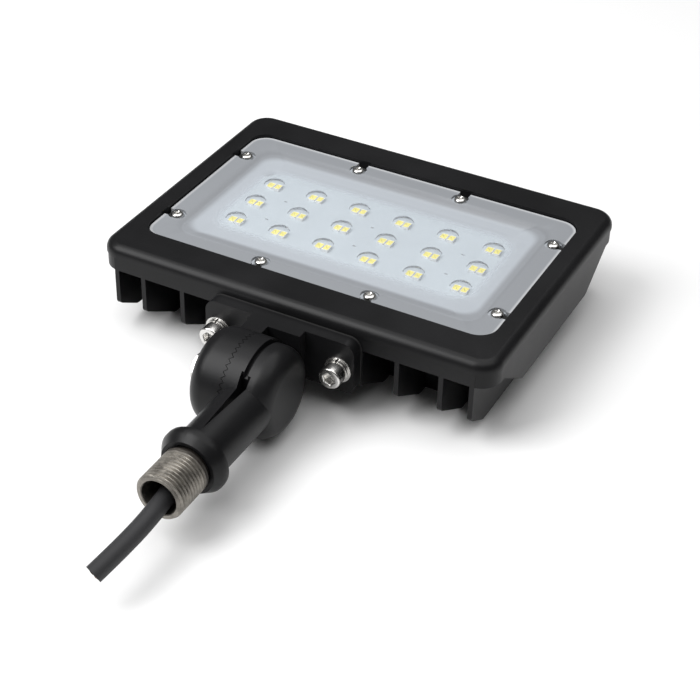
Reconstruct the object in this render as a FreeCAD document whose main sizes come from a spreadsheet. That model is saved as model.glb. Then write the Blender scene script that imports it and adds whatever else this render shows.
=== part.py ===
"""Outdoor LED flood light on a toothed knuckle with a threaded nipple, in millimetres.

The origin is on the nipple's axis, where its thread meets the collar. The nipple points along -Y, the lit
face looks along +Z and the long side of the head lies along X.
"""
import FreeCAD, Part
import math
import os
import re

import Sketcher

SIZES = [
    # Where the head and the pivot lie
    ("head_x", -9, "middle of the head from the nipple's axis, also the plane of the teeth"),
    ("pivot_y", 58.5, "pivot axis from the collar's seat"),
    ("knuckle_gap", 2, "bracket from the toothed rim of the arm"),
    ("axis_below_face", 19.4, "nipple and pivot axes below the lit face"),
    # Bezel and rim of the housing
    ("rim_length", 194, "long side of the bezel"),
    ("rim_width", 143, "short side of the bezel"),
    ("rim_corner", 10.3, "bezel corner radius seen from the front"),
    ("band_depth", 5.7, "depth of the rounded band of the bezel"),
    ("band_round", 4.6, "rounding of the bezel's outer edge"),
    ("seam_step", 0.4, "step in from the band to the wall below it"),
    ("bezel_end", 10.8, "width of the bezel at the short sides"),
    ("bezel_side", 18.6, "width of the bezel at the long sides"),
    ("window_corner", 9, "window corner radius"),
    ("ledge_depth", 4.8, "seat of the cover's gasket below the face"),
    ("ledge_end", 11.2, "ledge under the cover at the short sides"),
    ("ledge_side", 10.9, "ledge under the cover at the long sides"),
    ("cavity_corner", 8, "corner radius of the space for the board"),
    ("floor_thickness", 3.95, "floor between the board and the compartment"),
    # Driver compartment behind the board
    ("box_length", 160, "outer length of the compartment"),
    ("box_front", 42.5, "front wall of the compartment from the middle of the head"),
    ("box_back", 45, "back wall of the compartment from the middle of the head"),
    ("box_wall", 3.4, "wall of the compartment"),
    ("rebate_wall", 1.4, "rim of that wall round the sunk back cover"),
    ("pillar_radius", 4.2, "screw pillars in the compartment"),
    ("pillar_inset", 6, "pillar axis from the outer walls"),
    ("pillar_middle", 10, "middle pillars from the middle of the head"),
    # Heat sink fins
    ("fin_depth", 43.5, "deepest point of the fins below the face"),
    ("fin_front_depth", 29.5, "depth of the fins at the front"),
    ("fin_slope_run", 22.8, "length over which the fins get deeper"),
    ("fin_thickness", 2.2, "thickness of a fin"),
    ("fin_first", 17.7, "first fin from the middle"),
    ("fin_second", 35.5, "second fin from the middle"),
    ("fin_third", 53.1, "third fin from the middle"),
    ("fin_fourth", 73.5, "fourth fin from the middle"),
    ("rear_fin_gap", 3, "fins end this far inside the back of the rim"),
    ("fifth_fin_inset", 9.5, "fifth fin, past the compartment, from the end of the bezel"),
    ("fifth_fin_depth", 37.6, "depth of the fifth fins below the face"),
    ("end_wall_thickness", 2.4, "thickness of the deep end walls"),
    ("end_wall_depth", 26.7, "lower edge of the end walls below the face"),
    ("end_wall_start", 12.6, "start of an end wall's slope from the long walls"),
    ("end_wall_run", 21.5, "length over which an end wall gets deeper"),
    # Boss for the bracket
    ("boss_margin", 0.5, "boss past the bracket plate at each end"),
    ("boss_length", 15.5, "length of that boss, front to back"),
    ("boss_bottom", 11.5, "lower edge of boss and plate below the pivot axis"),
    ("tunnel_x", -7, "wire tunnel from the middle of the head"),
    ("tunnel_wall", 3, "wall of the wire tunnel"),
    ("wire_bore", 4.5, "radius of the wire passage"),
    # Lens cover and its gasket
    ("cover_gap", 0.5, "gap between cover and window all round"),
    ("cover_top", 1.6, "rim of the cover below the face"),
    ("gasket_thickness", 1, "thickness of a flat gasket"),
    ("dish_end", 8.2, "rim of the cover round the dish at the short sides"),
    ("dish_side", 8.9, "rim of the cover round the dish at the long sides"),
    ("dish_run", 8, "width of the dish's sloped border"),
    ("dish_drop", 1.6, "depth of the dish"),
    ("plug_drop", 0.8, "underside of the middle below the rim's underside"),
    ("plug_gap", 1, "gap between the cover's middle and the housing"),
    ("dome_radius", 4.5, "radius of an LED dome"),
    ("dome_height", 1.4, "height of an LED dome"),
    ("cover_screw_inset", 5.7, "screws on the short sides from the window's edge"),
    ("cover_screw_y", 31.3, "screws on the short sides, along Y"),
    ("long_screw_x", 27.1, "screws on the long sides, along X"),
    ("long_screw_inset", 6.5, "screws on the long sides from the window's edge"),
    ("scallop_radius", 4.2, "round recess in the cover at a screw"),
    ("scallop_depth", 1.3, "depth of that recess"),
    ("notch_width", 5.4, "notch from a screw to the edge of the cover"),
    ("notch_start", 2.1, "start of the notch from the screw's axis"),
    # Small screws
    ("screw_radius", 1.5, "thread of the small screws"),
    ("screw_clearance", 0.2, "clearance around a small screw"),
    ("screw_head_radius", 2.9, "head of the small screws"),
    ("screw_head_height", 2, "height of that head"),
    ("low_head_height", 1.2, "height of a board screw's head"),
    ("cover_screw_grip", 5, "thread of a cover screw in the housing"),
    ("board_screw_grip", 2.6, "thread of a board screw in the housing"),
    ("back_screw_grip", 9, "thread of a back screw in its pillar"),
    # LED board
    ("board_end_gap", 4, "room round the LED board at the short sides"),
    ("board_side_gap", 8, "room round the LED board at the long sides"),
    ("board_corner", 3, "LED board corner radius"),
    ("board_thickness", 1.6, "LED board thickness"),
    ("pad_thickness", 0.5, "thermal pad thickness"),
    ("pad_margin", 1, "pad edge inside the board edge"),
    ("board_screw_end", 4.2, "board screws from the board's ends"),
    ("board_screw_side", 6, "board screws from the board's sides"),
    ("head_room", 0.55, "board screw heads below the cover"),
    ("led_columns", 6, "LED pairs in a row"),
    ("led_rows", 3, "rows of LED pairs"),
    ("led_pitch_x", 22.86, "LED pairs along X"),
    ("led_pitch_y", 17.7, "LED pairs along Y"),
    ("chip_size", 3, "side of an LED"),
    ("chip_height", 0.75, "height of an LED"),
    ("chip_spacing", 3.9, "two LEDs of a pair, middle to middle"),
    # Driver
    ("driver_length", 118, "driver case length"),
    ("driver_width", 54, "driver case width"),
    ("driver_room", 2.1, "driver case above the back cover's gasket"),
    ("driver_wall", 1.6, "driver case wall"),
    ("driver_tab", 9, "length of a mounting tab"),
    ("post_height", 14, "posts from the case floor to the driver board"),
    ("post_radius", 3, "posts of the driver board"),
    ("driver_board_gap", 1, "driver board from the walls of its case"),
    ("post_end", 6, "posts of the driver board from the case's ends"),
    ("post_side", 7, "posts of the driver board from the case's sides"),
    ("terminal_y", 14, "wire side of the terminal block from the middle of the head"),
    ("terminal_length", 9, "terminal block along Y"),
    ("terminal_width", 16, "terminal block along X"),
    ("terminal_height", 12, "terminal block height"),
    ("coil_end", 37, "transformer from the end of the driver case"),
    ("coil_length", 22, "transformer along X"),
    ("coil_width", 26, "transformer along Y"),
    ("coil_height", 12.5, "transformer height"),
    ("can_x", -30, "capacitors from the middle of the head"),
    ("can_y", 10, "capacitors from the middle of the head, along Y"),
    ("can_radius", 5, "capacitor"),
    ("can_height", 12, "capacitor height"),
    ("choke_end", 13, "choke from the end of the driver case"),
    ("choke_radius", 7, "choke"),
    ("choke_height", 8, "choke height"),
    ("lead_end", 19, "LED leads from the end of the driver case"),
    ("lead_bore", 3.5, "radius of the lead hole in the housing"),
    ("lead_radius", 0.9, "radius of an LED lead"),
    ("lead_spacing", 2.6, "LED leads, middle to middle"),
    ("core_radius", 1.1, "radius of an insulated core"),
    ("core_ring", 1.5, "cores from the middle of their bundle"),
    # Back cover
    ("back_thickness", 2, "back cover thickness"),
    ("back_gap", 0.4, "back cover edge inside the compartment's outside"),
    # Bracket
    ("plate_width", 73, "bracket plate width"),
    ("plate_top", 13.2, "upper edge of the plate above the pivot axis"),
    ("plate_thickness", 5.9, "bracket plate thickness"),
    ("plate_top_round", 5.5, "upper corners of the plate"),
    ("plate_low_round", 3, "lower corners of the plate"),
    ("middle_width", 26, "width of the plate's thick middle"),
    ("middle_thickness", 4.7, "extra thickness of that middle"),
    ("neck_start", 12, "start of the neck from the pivot axis"),
    ("neck_width", 10, "width of the neck from plate to ear"),
    ("neck_inset", 2.4, "neck from the toothed face"),
    ("bolt_inset", 7, "bracket bolts from the ends of the plate"),
    ("bolt_radius", 3, "bracket bolt thread"),
    ("bolt_clearance", 0.3, "clearance around a bracket bolt"),
    ("bolt_head_radius", 5, "bracket bolt head"),
    ("bolt_head_height", 6, "bracket bolt head height"),
    ("bolt_grip", 13, "bracket bolt thread in the housing"),
    ("hex_key", 5, "hexagon socket across flats"),
    ("hex_depth", 3, "hexagon socket depth"),
    ("flat_washer_radius", 6.2, "flat washer"),
    ("flat_washer_thickness", 1.5, "flat washer thickness"),
    ("spring_washer_radius", 5.4, "spring washer"),
    ("spring_washer_thickness", 1.7, "spring washer thickness"),
    ("spring_washer_split", 0.8, "gap in the spring washer"),
    # Knuckle
    ("ear_radius", 21.5, "toothed faces, outer radius"),
    ("ear_thickness", 17, "bracket ear from the plane of the teeth"),
    ("ear_round", 8, "rounding of the ear's outer rim"),
    ("tooth_count", 48, "teeth round each face"),
    ("tooth_height", 1.6, "height of a tooth at the rim"),
    ("tooth_gap", 0.35, "clearance between the two toothed faces"),
    ("tooth_inner", 15.2, "inner radius of the teeth"),
    ("wire_room_radius", 11.5, "outer radius of the wire space in the knuckle"),
    ("hub_radius", 6.8, "hub round the pivot bolt"),
    ("wire_room_entry", 9, "wire passage from the pivot axis"),
    ("ear_wire_depth", 11, "depth of the wire space in the ear"),
    ("arm_wire_depth", 12, "depth of the wire space in the arm"),
    ("seal_inner", 12.2, "knuckle seal inner radius"),
    ("seal_outer", 14.4, "knuckle seal outer radius"),
    ("seal_seat", 1.5, "depth of the seal's groove"),
    ("seal_gap", 0.3, "seal from the ear's face"),
    ("cheek_thickness", 8, "arm's toothed cheek, from the plane of the teeth to the groove"),
    ("groove_width", 1.6, "width of the groove round the knuckle"),
    ("groove_depth", 2.5, "depth of that groove"),
    ("dome_outer", 20.3, "radius of the arm's dome"),
    ("dome_reach", 12, "end of the dome from the nipple's axis"),
    ("dome_round", 8, "rounding of the dome"),
    ("pivot_radius", 4, "pivot bolt shank"),
    ("pivot_clearance", 0.08, "running clearance of the ear on the shank"),
    ("pivot_grip", 15, "thread of the pivot bolt in the arm"),
    ("pivot_head_height", 4, "pivot bolt head height"),
    ("pivot_head_flats", 13, "pivot bolt head across flats"),
    ("pivot_washer_radius", 8, "pivot washer"),
    ("pivot_washer_thickness", 1.6, "pivot washer thickness"),
    ("pivot_washer_gap", 0.1, "pivot washer from the ear"),
    ("pivot_washer_clearance", 0.2, "pivot washer round the shank"),
    # Arm tube and collar
    ("tube_radius", 11.7, "arm tube"),
    ("tube_bore", 6.5, "wire bore of the arm tube"),
    ("bore_stop", 7.3, "end of that bore from the pivot axis"),
    ("slot_width", 4.2, "groove on top of the tube, at the knuckle"),
    ("slot_floor", 5.5, "floor of that groove above the axis"),
    ("slot_end", 11.3, "end of that groove from the collar's seat"),
    ("slot_length", 34, "length of that groove"),
    ("ear_room", 0.8, "room round the ear where the tube ends"),
    ("collar_radius", 15, "collar"),
    ("collar_seat_radius", 12.2, "flat seat of the collar"),
    ("collar_flare", 4.6, "length of the collar's flare"),
    ("collar_edge", 2, "width of the collar's rim"),
    ("collar_length", 8.6, "length of the collar"),
    # Nipple and cord
    ("nipple_radius", 10.45, "half inch straight pipe thread, outside"),
    ("nipple_bore", 7.8, "bore of the nipple"),
    ("nipple_reach", 20.5, "length of the thread outside the collar"),
    ("nipple_chamfer", 0.8, "chamfer at the nipple's end"),
    ("relief_depth", 1, "depth of the relief in the collar's seat behind the thread"),
    ("relief_gap", 0.3, "relief wider than the thread, all round"),
    ("spigot_radius", 9.3, "spigot of the nipple in the arm"),
    ("spigot_length", 12, "length of that spigot"),
    ("grommet_length", 10, "cord grommet"),
    ("cord_radius", 3.9, "cord"),
    ("cord_tail", 3, "jacket past the grommet, inside the arm"),
    ("core_reach", 20, "cores past the jacket, inside the arm"),
]
# Sizes that follow from the ones above
DERIVED = [
    ("pivot_to_head", "ear_radius + knuckle_gap + middle_thickness + plate_thickness + gasket_thickness",
     "pivot axis to the head's front wall"),
    ("window_length", "rim_length - 2 * bezel_end", "window in the bezel, long side"),
    ("window_width", "rim_width - 2 * bezel_side", "window in the bezel, short side"),
    ("cavity_length", "window_length - 2 * ledge_end", "space for the board, long side"),
    ("cavity_width", "window_width - 2 * ledge_side", "space for the board, short side"),
    ("cover_seat", "ledge_depth - gasket_thickness", "seat of the cover below the face"),
    ("board_top", "cover_seat + plug_drop + low_head_height + head_room", "LED board below the face"),
    ("floor_depth", "board_top + board_thickness + pad_thickness", "seat of the thermal pad below the face"),
    ("rim_depth", "floor_depth + floor_thickness", "depth of the rim wall"),
    ("dish_length", "window_length - 2 * dish_end", "top of the dished middle, long side"),
    ("dish_width", "window_width - 2 * dish_side", "top of the dished middle, short side"),
    ("cover_screw_x", "window_length / 2 - cover_screw_inset", "screws on the short sides, along X"),
    ("long_screw_y", "window_width / 2 - long_screw_inset", "screws on the long sides, along Y"),
    ("board_length", "cavity_length - 2 * board_end_gap", "LED board, long side"),
    ("board_width", "cavity_width - 2 * board_side_gap", "LED board, short side"),
    ("board_screw_x", "board_length / 2 - board_screw_end", "board screws along X"),
    ("board_screw_y", "board_width / 2 - board_screw_side", "board screws along Y"),
    ("back_low", "fin_depth - screw_head_height", "outside of the back cover below the face"),
    ("box_low", "back_low - back_thickness - gasket_thickness", "seat of the back cover's gasket"),
    ("driver_height", "box_low - driver_room - rim_depth", "driver case height"),
    ("post_x", "driver_length / 2 - post_end", "posts of the driver board along X"),
    ("post_y", "driver_width / 2 - post_side", "posts of the driver board along Y"),
    ("choke_x", "choke_end - driver_length / 2", "choke from the middle of the head"),
    ("coil_x", "driver_length / 2 - coil_end", "transformer from the middle of the head"),
    ("lead_x", "driver_length / 2 - lead_end", "LED leads from the middle of the head"),
    ("boss_width", "plate_width + 2 * boss_margin", "width of the boss behind the bracket"),
    ("bolt_x", "plate_width / 2 - bolt_inset", "bracket bolts from the middle of the head"),
    ("wall_front", "rim_width / 2 - seam_step", "front wall of the rim from the middle of the head"),
    ("fin_back", "rim_width / 2 - rear_fin_gap", "back edge of the fins from the middle of the head"),
    ("fin_fifth", "rim_length / 2 - fifth_fin_inset", "fifth fin from the middle of the head"),
    ("end_wall_half", "wall_front - end_wall_start", "half the length of an end wall at its top"),
    ("end_wall_length", "rim_length - 2 * seam_step", "outside of one end wall to the outside of the other"),
    ("plate_back", "pivot_to_head - gasket_thickness", "back of the bracket plate from the pivot axis"),
    ("plate_front", "plate_back - plate_thickness", "front of the bracket plate from the pivot axis"),
    ("middle_front", "plate_front - middle_thickness", "front of its thick middle from the pivot axis"),
    ("ear_face", "head_x - (tooth_height + tooth_gap) / 2", "roots of the ear's teeth along X"),
    ("arm_face", "head_x + (tooth_height + tooth_gap) / 2", "roots of the arm's teeth along X"),
    ("ear_outside", "head_x - ear_thickness", "outside of the ear along X"),
    ("washer_outside", "ear_outside - pivot_washer_gap - pivot_washer_thickness",
     "seat of the pivot bolt's head along X"),
    ("groove_start", "head_x + cheek_thickness", "start of the groove round the knuckle"),
    ("tunnel_middle", "head_x + tunnel_x", "wire tunnel from the nipple's axis"),
]
SIZE_NAMES = {name for name, size, note in SIZES + DERIVED}
WORD = re.compile(r"[a-z][a-z_]*")

# Points that the free cord passes on its way from the grommet to its cut end
CORD_ROUTE = [
    (0, -3, 0),
    (0.4, -20, -3.4),
    (0.5, -42, -4.8),
    (-0.6, -63, -4.6),
]
ARC_SHARE = 0.45

HEAD = ("head_x", "pivot_y + pivot_to_head + wall_front", "axis_below_face")
PIVOT = ("0", "pivot_y", "0")
NIPPLE = ("0", "0", "0")
TURN_TO = {
    "x": FreeCAD.Rotation(FreeCAD.Vector(0, 1, 0), 90),
    "y": FreeCAD.Rotation(FreeCAD.Vector(1, 0, 0), -90),
    "z": FreeCAD.Rotation(),
}

doc = FreeCAD.newDocument("flood_light")
sheet = doc.addObject("Spreadsheet::Sheet", "sizes")
nodes = []


def fill_sheet():
    """Put every size in its own aliased cell, and those that follow from others as formulas."""
    followers = [(name, "=" + text, note) for name, text, note in DERIVED]
    for row, (name, size, note) in enumerate(SIZES + followers, start=1):
        sheet.set(f"A{row}", name)
        sheet.set(f"B{row}", str(size))
        sheet.setAlias(f"B{row}", name)
        sheet.set(f"C{row}", note)
    doc.recompute()


def formula(text):
    """The same expression with every size name pointing into the sheet."""
    def in_sheet(word):
        name = word.group()
        return "sizes." + name if name in SIZE_NAMES else name

    return WORD.sub(in_sheet, text)


def number(text):
    """The present value of an expression of sizes."""
    return float(sheet.evalExpression(formula(text)))


def bind(item, **formulas):
    """Tie properties of an object to expressions of sizes."""
    for name, text in formulas.items():
        item.setExpression(name, formula(text))


def place(item, frame, point, turn=None):
    """Put an object at a point of a frame, both given as expressions."""
    if turn is not None:
        item.Placement = FreeCAD.Placement(FreeCAD.Vector(), turn)
    for axis, origin, offset in zip("xyz", frame, point):
        item.setExpression(f"Placement.Base.{axis}", formula(f"({origin}) + ({offset})"))


def box(name, frame, low, size):
    """A block from its low corner."""
    item = doc.addObject("Part::Box", name)
    bind(item, Length=size[0], Width=size[1], Height=size[2])
    place(item, frame, low)
    return item


def block(name, frame, middle_x, width, low_y, length, low_z, height):
    """A block that is centred along X."""
    low = (f"({middle_x}) - ({width}) / 2", low_y, low_z)
    return box(name, frame, low, (width, length, height))


def rod(name, frame, axis, start, radius, length):
    """A cylinder along an axis, from the middle of its first face."""
    item = doc.addObject("Part::Cylinder", name)
    bind(item, Radius=radius, Height=length)
    place(item, frame, start, TURN_TO[axis])
    return item


def fuse(name, items):
    """One solid made of touching pieces."""
    item = doc.addObject("Part::MultiFuse", name)
    item.Shapes = items
    return item


def cut(name, base, tool):
    """A solid with another taken out of it."""
    item = doc.addObject("Part::Cut", name)
    item.Base = base
    item.Tool = tool
    return item


def group(name, items):
    """Separate solids kept together."""
    item = doc.addObject("Part::Compound", name)
    item.Links = items
    return item


def ring(name, frame, axis, start, outer, inner, length):
    """A plain washer along an axis."""
    hole = rod(name + "_hole", frame, axis, start, inner, length)
    return cut(name, rod(name + "_disc", frame, axis, start, outer, length), hole)


def node(label, item):
    """Hand an object over as a named piece."""
    item.Label = label
    nodes.append(item)
    return item


def new_body(name, frame):
    """A body whose own origin lies at a frame."""
    body = doc.addObject("PartDesign::Body", name)
    place(body, frame, ("0", "0", "0"))
    return body


def new_sketch(body, role, height="0"):
    """An empty sketch on one of a body's origin planes, lifted along the plane's normal."""
    sketch = body.newObject("Sketcher::SketchObject", body.Name + "_sketch")
    plane = [feature for feature in body.Origin.OriginFeatures if feature.Role == role][0]
    sketch.AttachmentSupport = [(plane, "")]
    sketch.MapMode = "FlatFace"
    sketch.setExpression("AttachmentOffset.Base.z", formula(height))
    return sketch


def constrain(sketch, text, *arguments):
    """Add a dimension to a sketch and tie it to an expression of sizes."""
    index = sketch.addConstraint(Sketcher.Constraint(*arguments, number(text)))
    sketch.setExpression(f"Constraints[{index}]", formula(text))


def draw_outline(sketch, points):
    """A closed outline of straight lines, with each corner held by its two coordinates."""
    corners = [FreeCAD.Vector(number(along), number(across), 0) for along, across in points]
    for first, second in zip(corners, corners[1:] + corners[:1]):
        sketch.addGeometry(Part.LineSegment(first, second))
    for index, (along, across) in enumerate(points):
        before = (index - 1) % len(points)
        sketch.addConstraint(Sketcher.Constraint("Coincident", before, 2, index, 1))
        for kind, text, zero_axis in (("DistanceX", along, -2), ("DistanceY", across, -1)):
            if text == "0":
                sketch.addConstraint(Sketcher.Constraint("PointOnObject", index, 1, zero_axis))
            else:
                constrain(sketch, text, kind, -1, 1, index, 1)


def draw_rounded(sketch, length, width, corner):
    """A rectangle about the sketch's origin with equal round corners."""
    half_x = number(length) / 2
    half_y = number(width) / 2
    radius = number(corner)
    in_x = half_x - radius
    in_y = half_y - radius
    sides = [((-in_x, -half_y), (in_x, -half_y)), ((half_x, -in_y), (half_x, in_y)),
             ((in_x, half_y), (-in_x, half_y)), ((-half_x, in_y), (-half_x, -in_y))]
    for first, second in sides:
        sketch.addGeometry(Part.LineSegment(FreeCAD.Vector(*first, 0), FreeCAD.Vector(*second, 0)))
    turns = [(in_x, -in_y), (in_x, in_y), (-in_x, in_y), (-in_x, -in_y)]
    for quarter, (middle_x, middle_y) in enumerate(turns):
        circle = Part.Circle(FreeCAD.Vector(middle_x, middle_y, 0), FreeCAD.Vector(0, 0, 1), radius)
        start = (quarter - 1) * math.pi / 2
        sketch.addGeometry(Part.ArcOfCircle(circle, start, start + math.pi / 2))
    for index in range(4):
        sketch.addConstraint(Sketcher.Constraint("Tangent", index, 2, index + 4, 1))
        sketch.addConstraint(Sketcher.Constraint("Tangent", index + 4, 2, (index + 1) % 4, 1))
        sketch.addConstraint(Sketcher.Constraint("Vertical" if index % 2 else "Horizontal", index))
    for index in (5, 6, 7):
        sketch.addConstraint(Sketcher.Constraint("Equal", 4, index))
    sketch.addConstraint(Sketcher.Constraint("Symmetric", 0, 1, 2, 1, -1, 1))
    constrain(sketch, corner, "Radius", 4)
    constrain(sketch, length, "DistanceX", 3, 1, 1, 1)
    constrain(sketch, width, "DistanceY", 0, 1, 2, 1)


def pad(body, sketch, depth, towards_normal=True, midplane=False):
    """Raise a sketch into a solid."""
    feature = body.newObject("PartDesign::Pad", body.Name + "_pad")
    feature.Profile = sketch
    feature.Reversed = not towards_normal
    feature.Midplane = midplane
    bind(feature, Length=depth)
    doc.recompute()
    return feature


def rounded_block(name, frame, length, width, corner, top, depth):
    """A block with round upright edges, from its top face down."""
    body = new_body(name, frame)
    sketch = new_sketch(body, "XY_Plane", top)
    draw_rounded(sketch, length, width, corner)
    pad(body, sketch, depth, towards_normal=False)
    return body


def outline_block(name, frame, role, points, depth, towards_normal=True, midplane=False):
    """A block with a straight-sided outline on one of the origin planes of its frame."""
    body = new_body(name, frame)
    sketch = new_sketch(body, role)
    draw_outline(sketch, points)
    pad(body, sketch, depth, towards_normal, midplane)
    return body


def turned(name, frame, points, about):
    """A turned solid from its half outline, about the sketch's H or V axis."""
    body = new_body(name, frame)
    sketch = new_sketch(body, "XY_Plane")
    draw_outline(sketch, points)
    feature = body.newObject("PartDesign::Revolution", name + "_turn")
    feature.Profile = sketch
    feature.ReferenceAxis = (sketch, [about])
    doc.recompute()
    return body


def round_edges(body, wanted, radius):
    """Round the edges of a body's last feature that pass a test."""
    base = body.Tip
    names = [f"Edge{index}" for index, edge in enumerate(base.Shape.Edges, start=1) if wanted(edge)]
    feature = body.newObject("PartDesign::Fillet", body.Name + "_round")
    feature.Base = (base, names)
    bind(feature, Radius=radius)
    doc.recompute()


def lies_at(axis, text):
    """A test for edges that lie wholly at one coordinate."""
    level = number(text)

    def test(edge):
        bounds = edge.BoundBox
        low = getattr(bounds, axis + "Min")
        high = getattr(bounds, axis + "Max")
        return abs(low - level) < 1e-4 and abs(high - level) < 1e-4

    return test


def small_screw(name, frame, x, y, seat, grip, head_height="screw_head_height", upwards=True):
    """A small screw whose head sits on a seat, standing up or hanging down."""
    head_low = f"({seat})" if upwards else f"({seat}) - {head_height}"
    shank_low = f"({seat}) - ({grip})" if upwards else f"({seat})"
    head = rod(name + "_head", frame, "z", (x, y, head_low), "screw_head_radius", head_height)
    shank = rod(name + "_shank", frame, "z", (x, y, shank_low), "screw_radius", grip)
    return fuse(name, [head, shank])


def corners(x, y):
    """The four places at plus and minus x and y."""
    return [(f"{sign_x} * ({x})", f"{sign_y} * ({y})") for sign_x in (-1, 1) for sign_y in (-1, 1)]


COVER_SCREWS = corners("cover_screw_x", "cover_screw_y") + corners("long_screw_x", "long_screw_y")
BOARD_SCREWS = corners("board_screw_x", "board_screw_y")
BACK_SCREWS = [(x, y)
               for x in ("pillar_inset - box_length / 2", "pillar_middle", "box_length / 2 - pillar_inset")
               for y in ("pillar_inset - box_front", "box_back - pillar_inset")]
FIN_PLACES = ["fin_first", "fin_second", "fin_third", "fin_fourth"]


def led_pairs():
    """The middle of each pair of LEDs, row by row."""
    columns = int(number("led_columns"))
    rows = int(number("led_rows"))
    return [(f"{column} * led_pitch_x - (led_columns - 1) * led_pitch_x / 2",
             f"{row} * led_pitch_y - (led_rows - 1) * led_pitch_y / 2")
            for row in range(rows) for column in range(columns)]


def make_fins():
    """Upright fins before and behind the driver compartment, and one past each of its ends."""
    front = []
    rear = []
    low = "-fin_depth"
    height = "fin_depth - band_depth"
    for side, side_name in ((-1, "left"), (1, "right")):
        for place_name in FIN_PLACES:
            name = f"{place_name}_{side_name}"
            middle = f"{side} * {place_name}"
            front.append(block(name + "_front", HEAD, middle, "fin_thickness", "-wall_front",
                               "wall_front - box_front + box_wall / 2", low, height))
            rear.append(block(name + "_rear", HEAD, middle, "fin_thickness", "box_back - box_wall / 2",
                              "fin_back - box_back + box_wall / 2", low, height))
        front.append(block(f"fin_fifth_{side_name}", HEAD, f"{side} * fin_fifth", "fin_thickness",
                           "-wall_front", "wall_front + fin_back",
                           "-fifth_fin_depth", "fifth_fin_depth - band_depth"))
    slope = [("-rim_width / 2", "-fin_front_depth"), ("-wall_front + fin_slope_run", "-fin_depth"),
             ("-rim_width / 2", "-fin_depth")]
    wedge = outline_block("fin_slope", HEAD, "YZ_Plane", slope, "rim_length", midplane=True)
    return [cut("front_fins", fuse("front_fin_blanks", front), wedge)] + rear


def make_end_walls():
    """The rim's two short walls, which reach deeper than the long ones and slope up to them."""
    both = outline_block("end_wall_outline", HEAD, "YZ_Plane", [
        ("-end_wall_half", "-band_depth"),
        ("-end_wall_half", "-rim_depth"),
        ("end_wall_run - end_wall_half", "-end_wall_depth"),
        ("end_wall_half - end_wall_run", "-end_wall_depth"),
        ("end_wall_half", "-rim_depth"),
        ("end_wall_half", "-band_depth"),
    ], "end_wall_length", midplane=True)
    between = block("end_wall_between", HEAD, "0", "end_wall_length - 2 * end_wall_thickness",
                    "-end_wall_half", "2 * end_wall_half", "-end_wall_depth", "end_wall_depth - band_depth")
    return [cut("end_walls", both, between)]


def loft(name, frame, sections):
    """A solid between two rounded rectangles, each given by length, width, corner and height."""
    sketches = []
    for index, (length, width, corner, height) in enumerate(sections):
        sketch = doc.addObject("Sketcher::SketchObject", f"{name}_section_{index}")
        place(sketch, frame, ("0", "0", height))
        draw_rounded(sketch, length, width, corner)
        sketches.append(sketch)
    doc.recompute()
    item = doc.addObject("Part::Loft", name)
    item.Sections = sketches
    item.Solid = True
    item.Ruled = True
    return item


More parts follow.
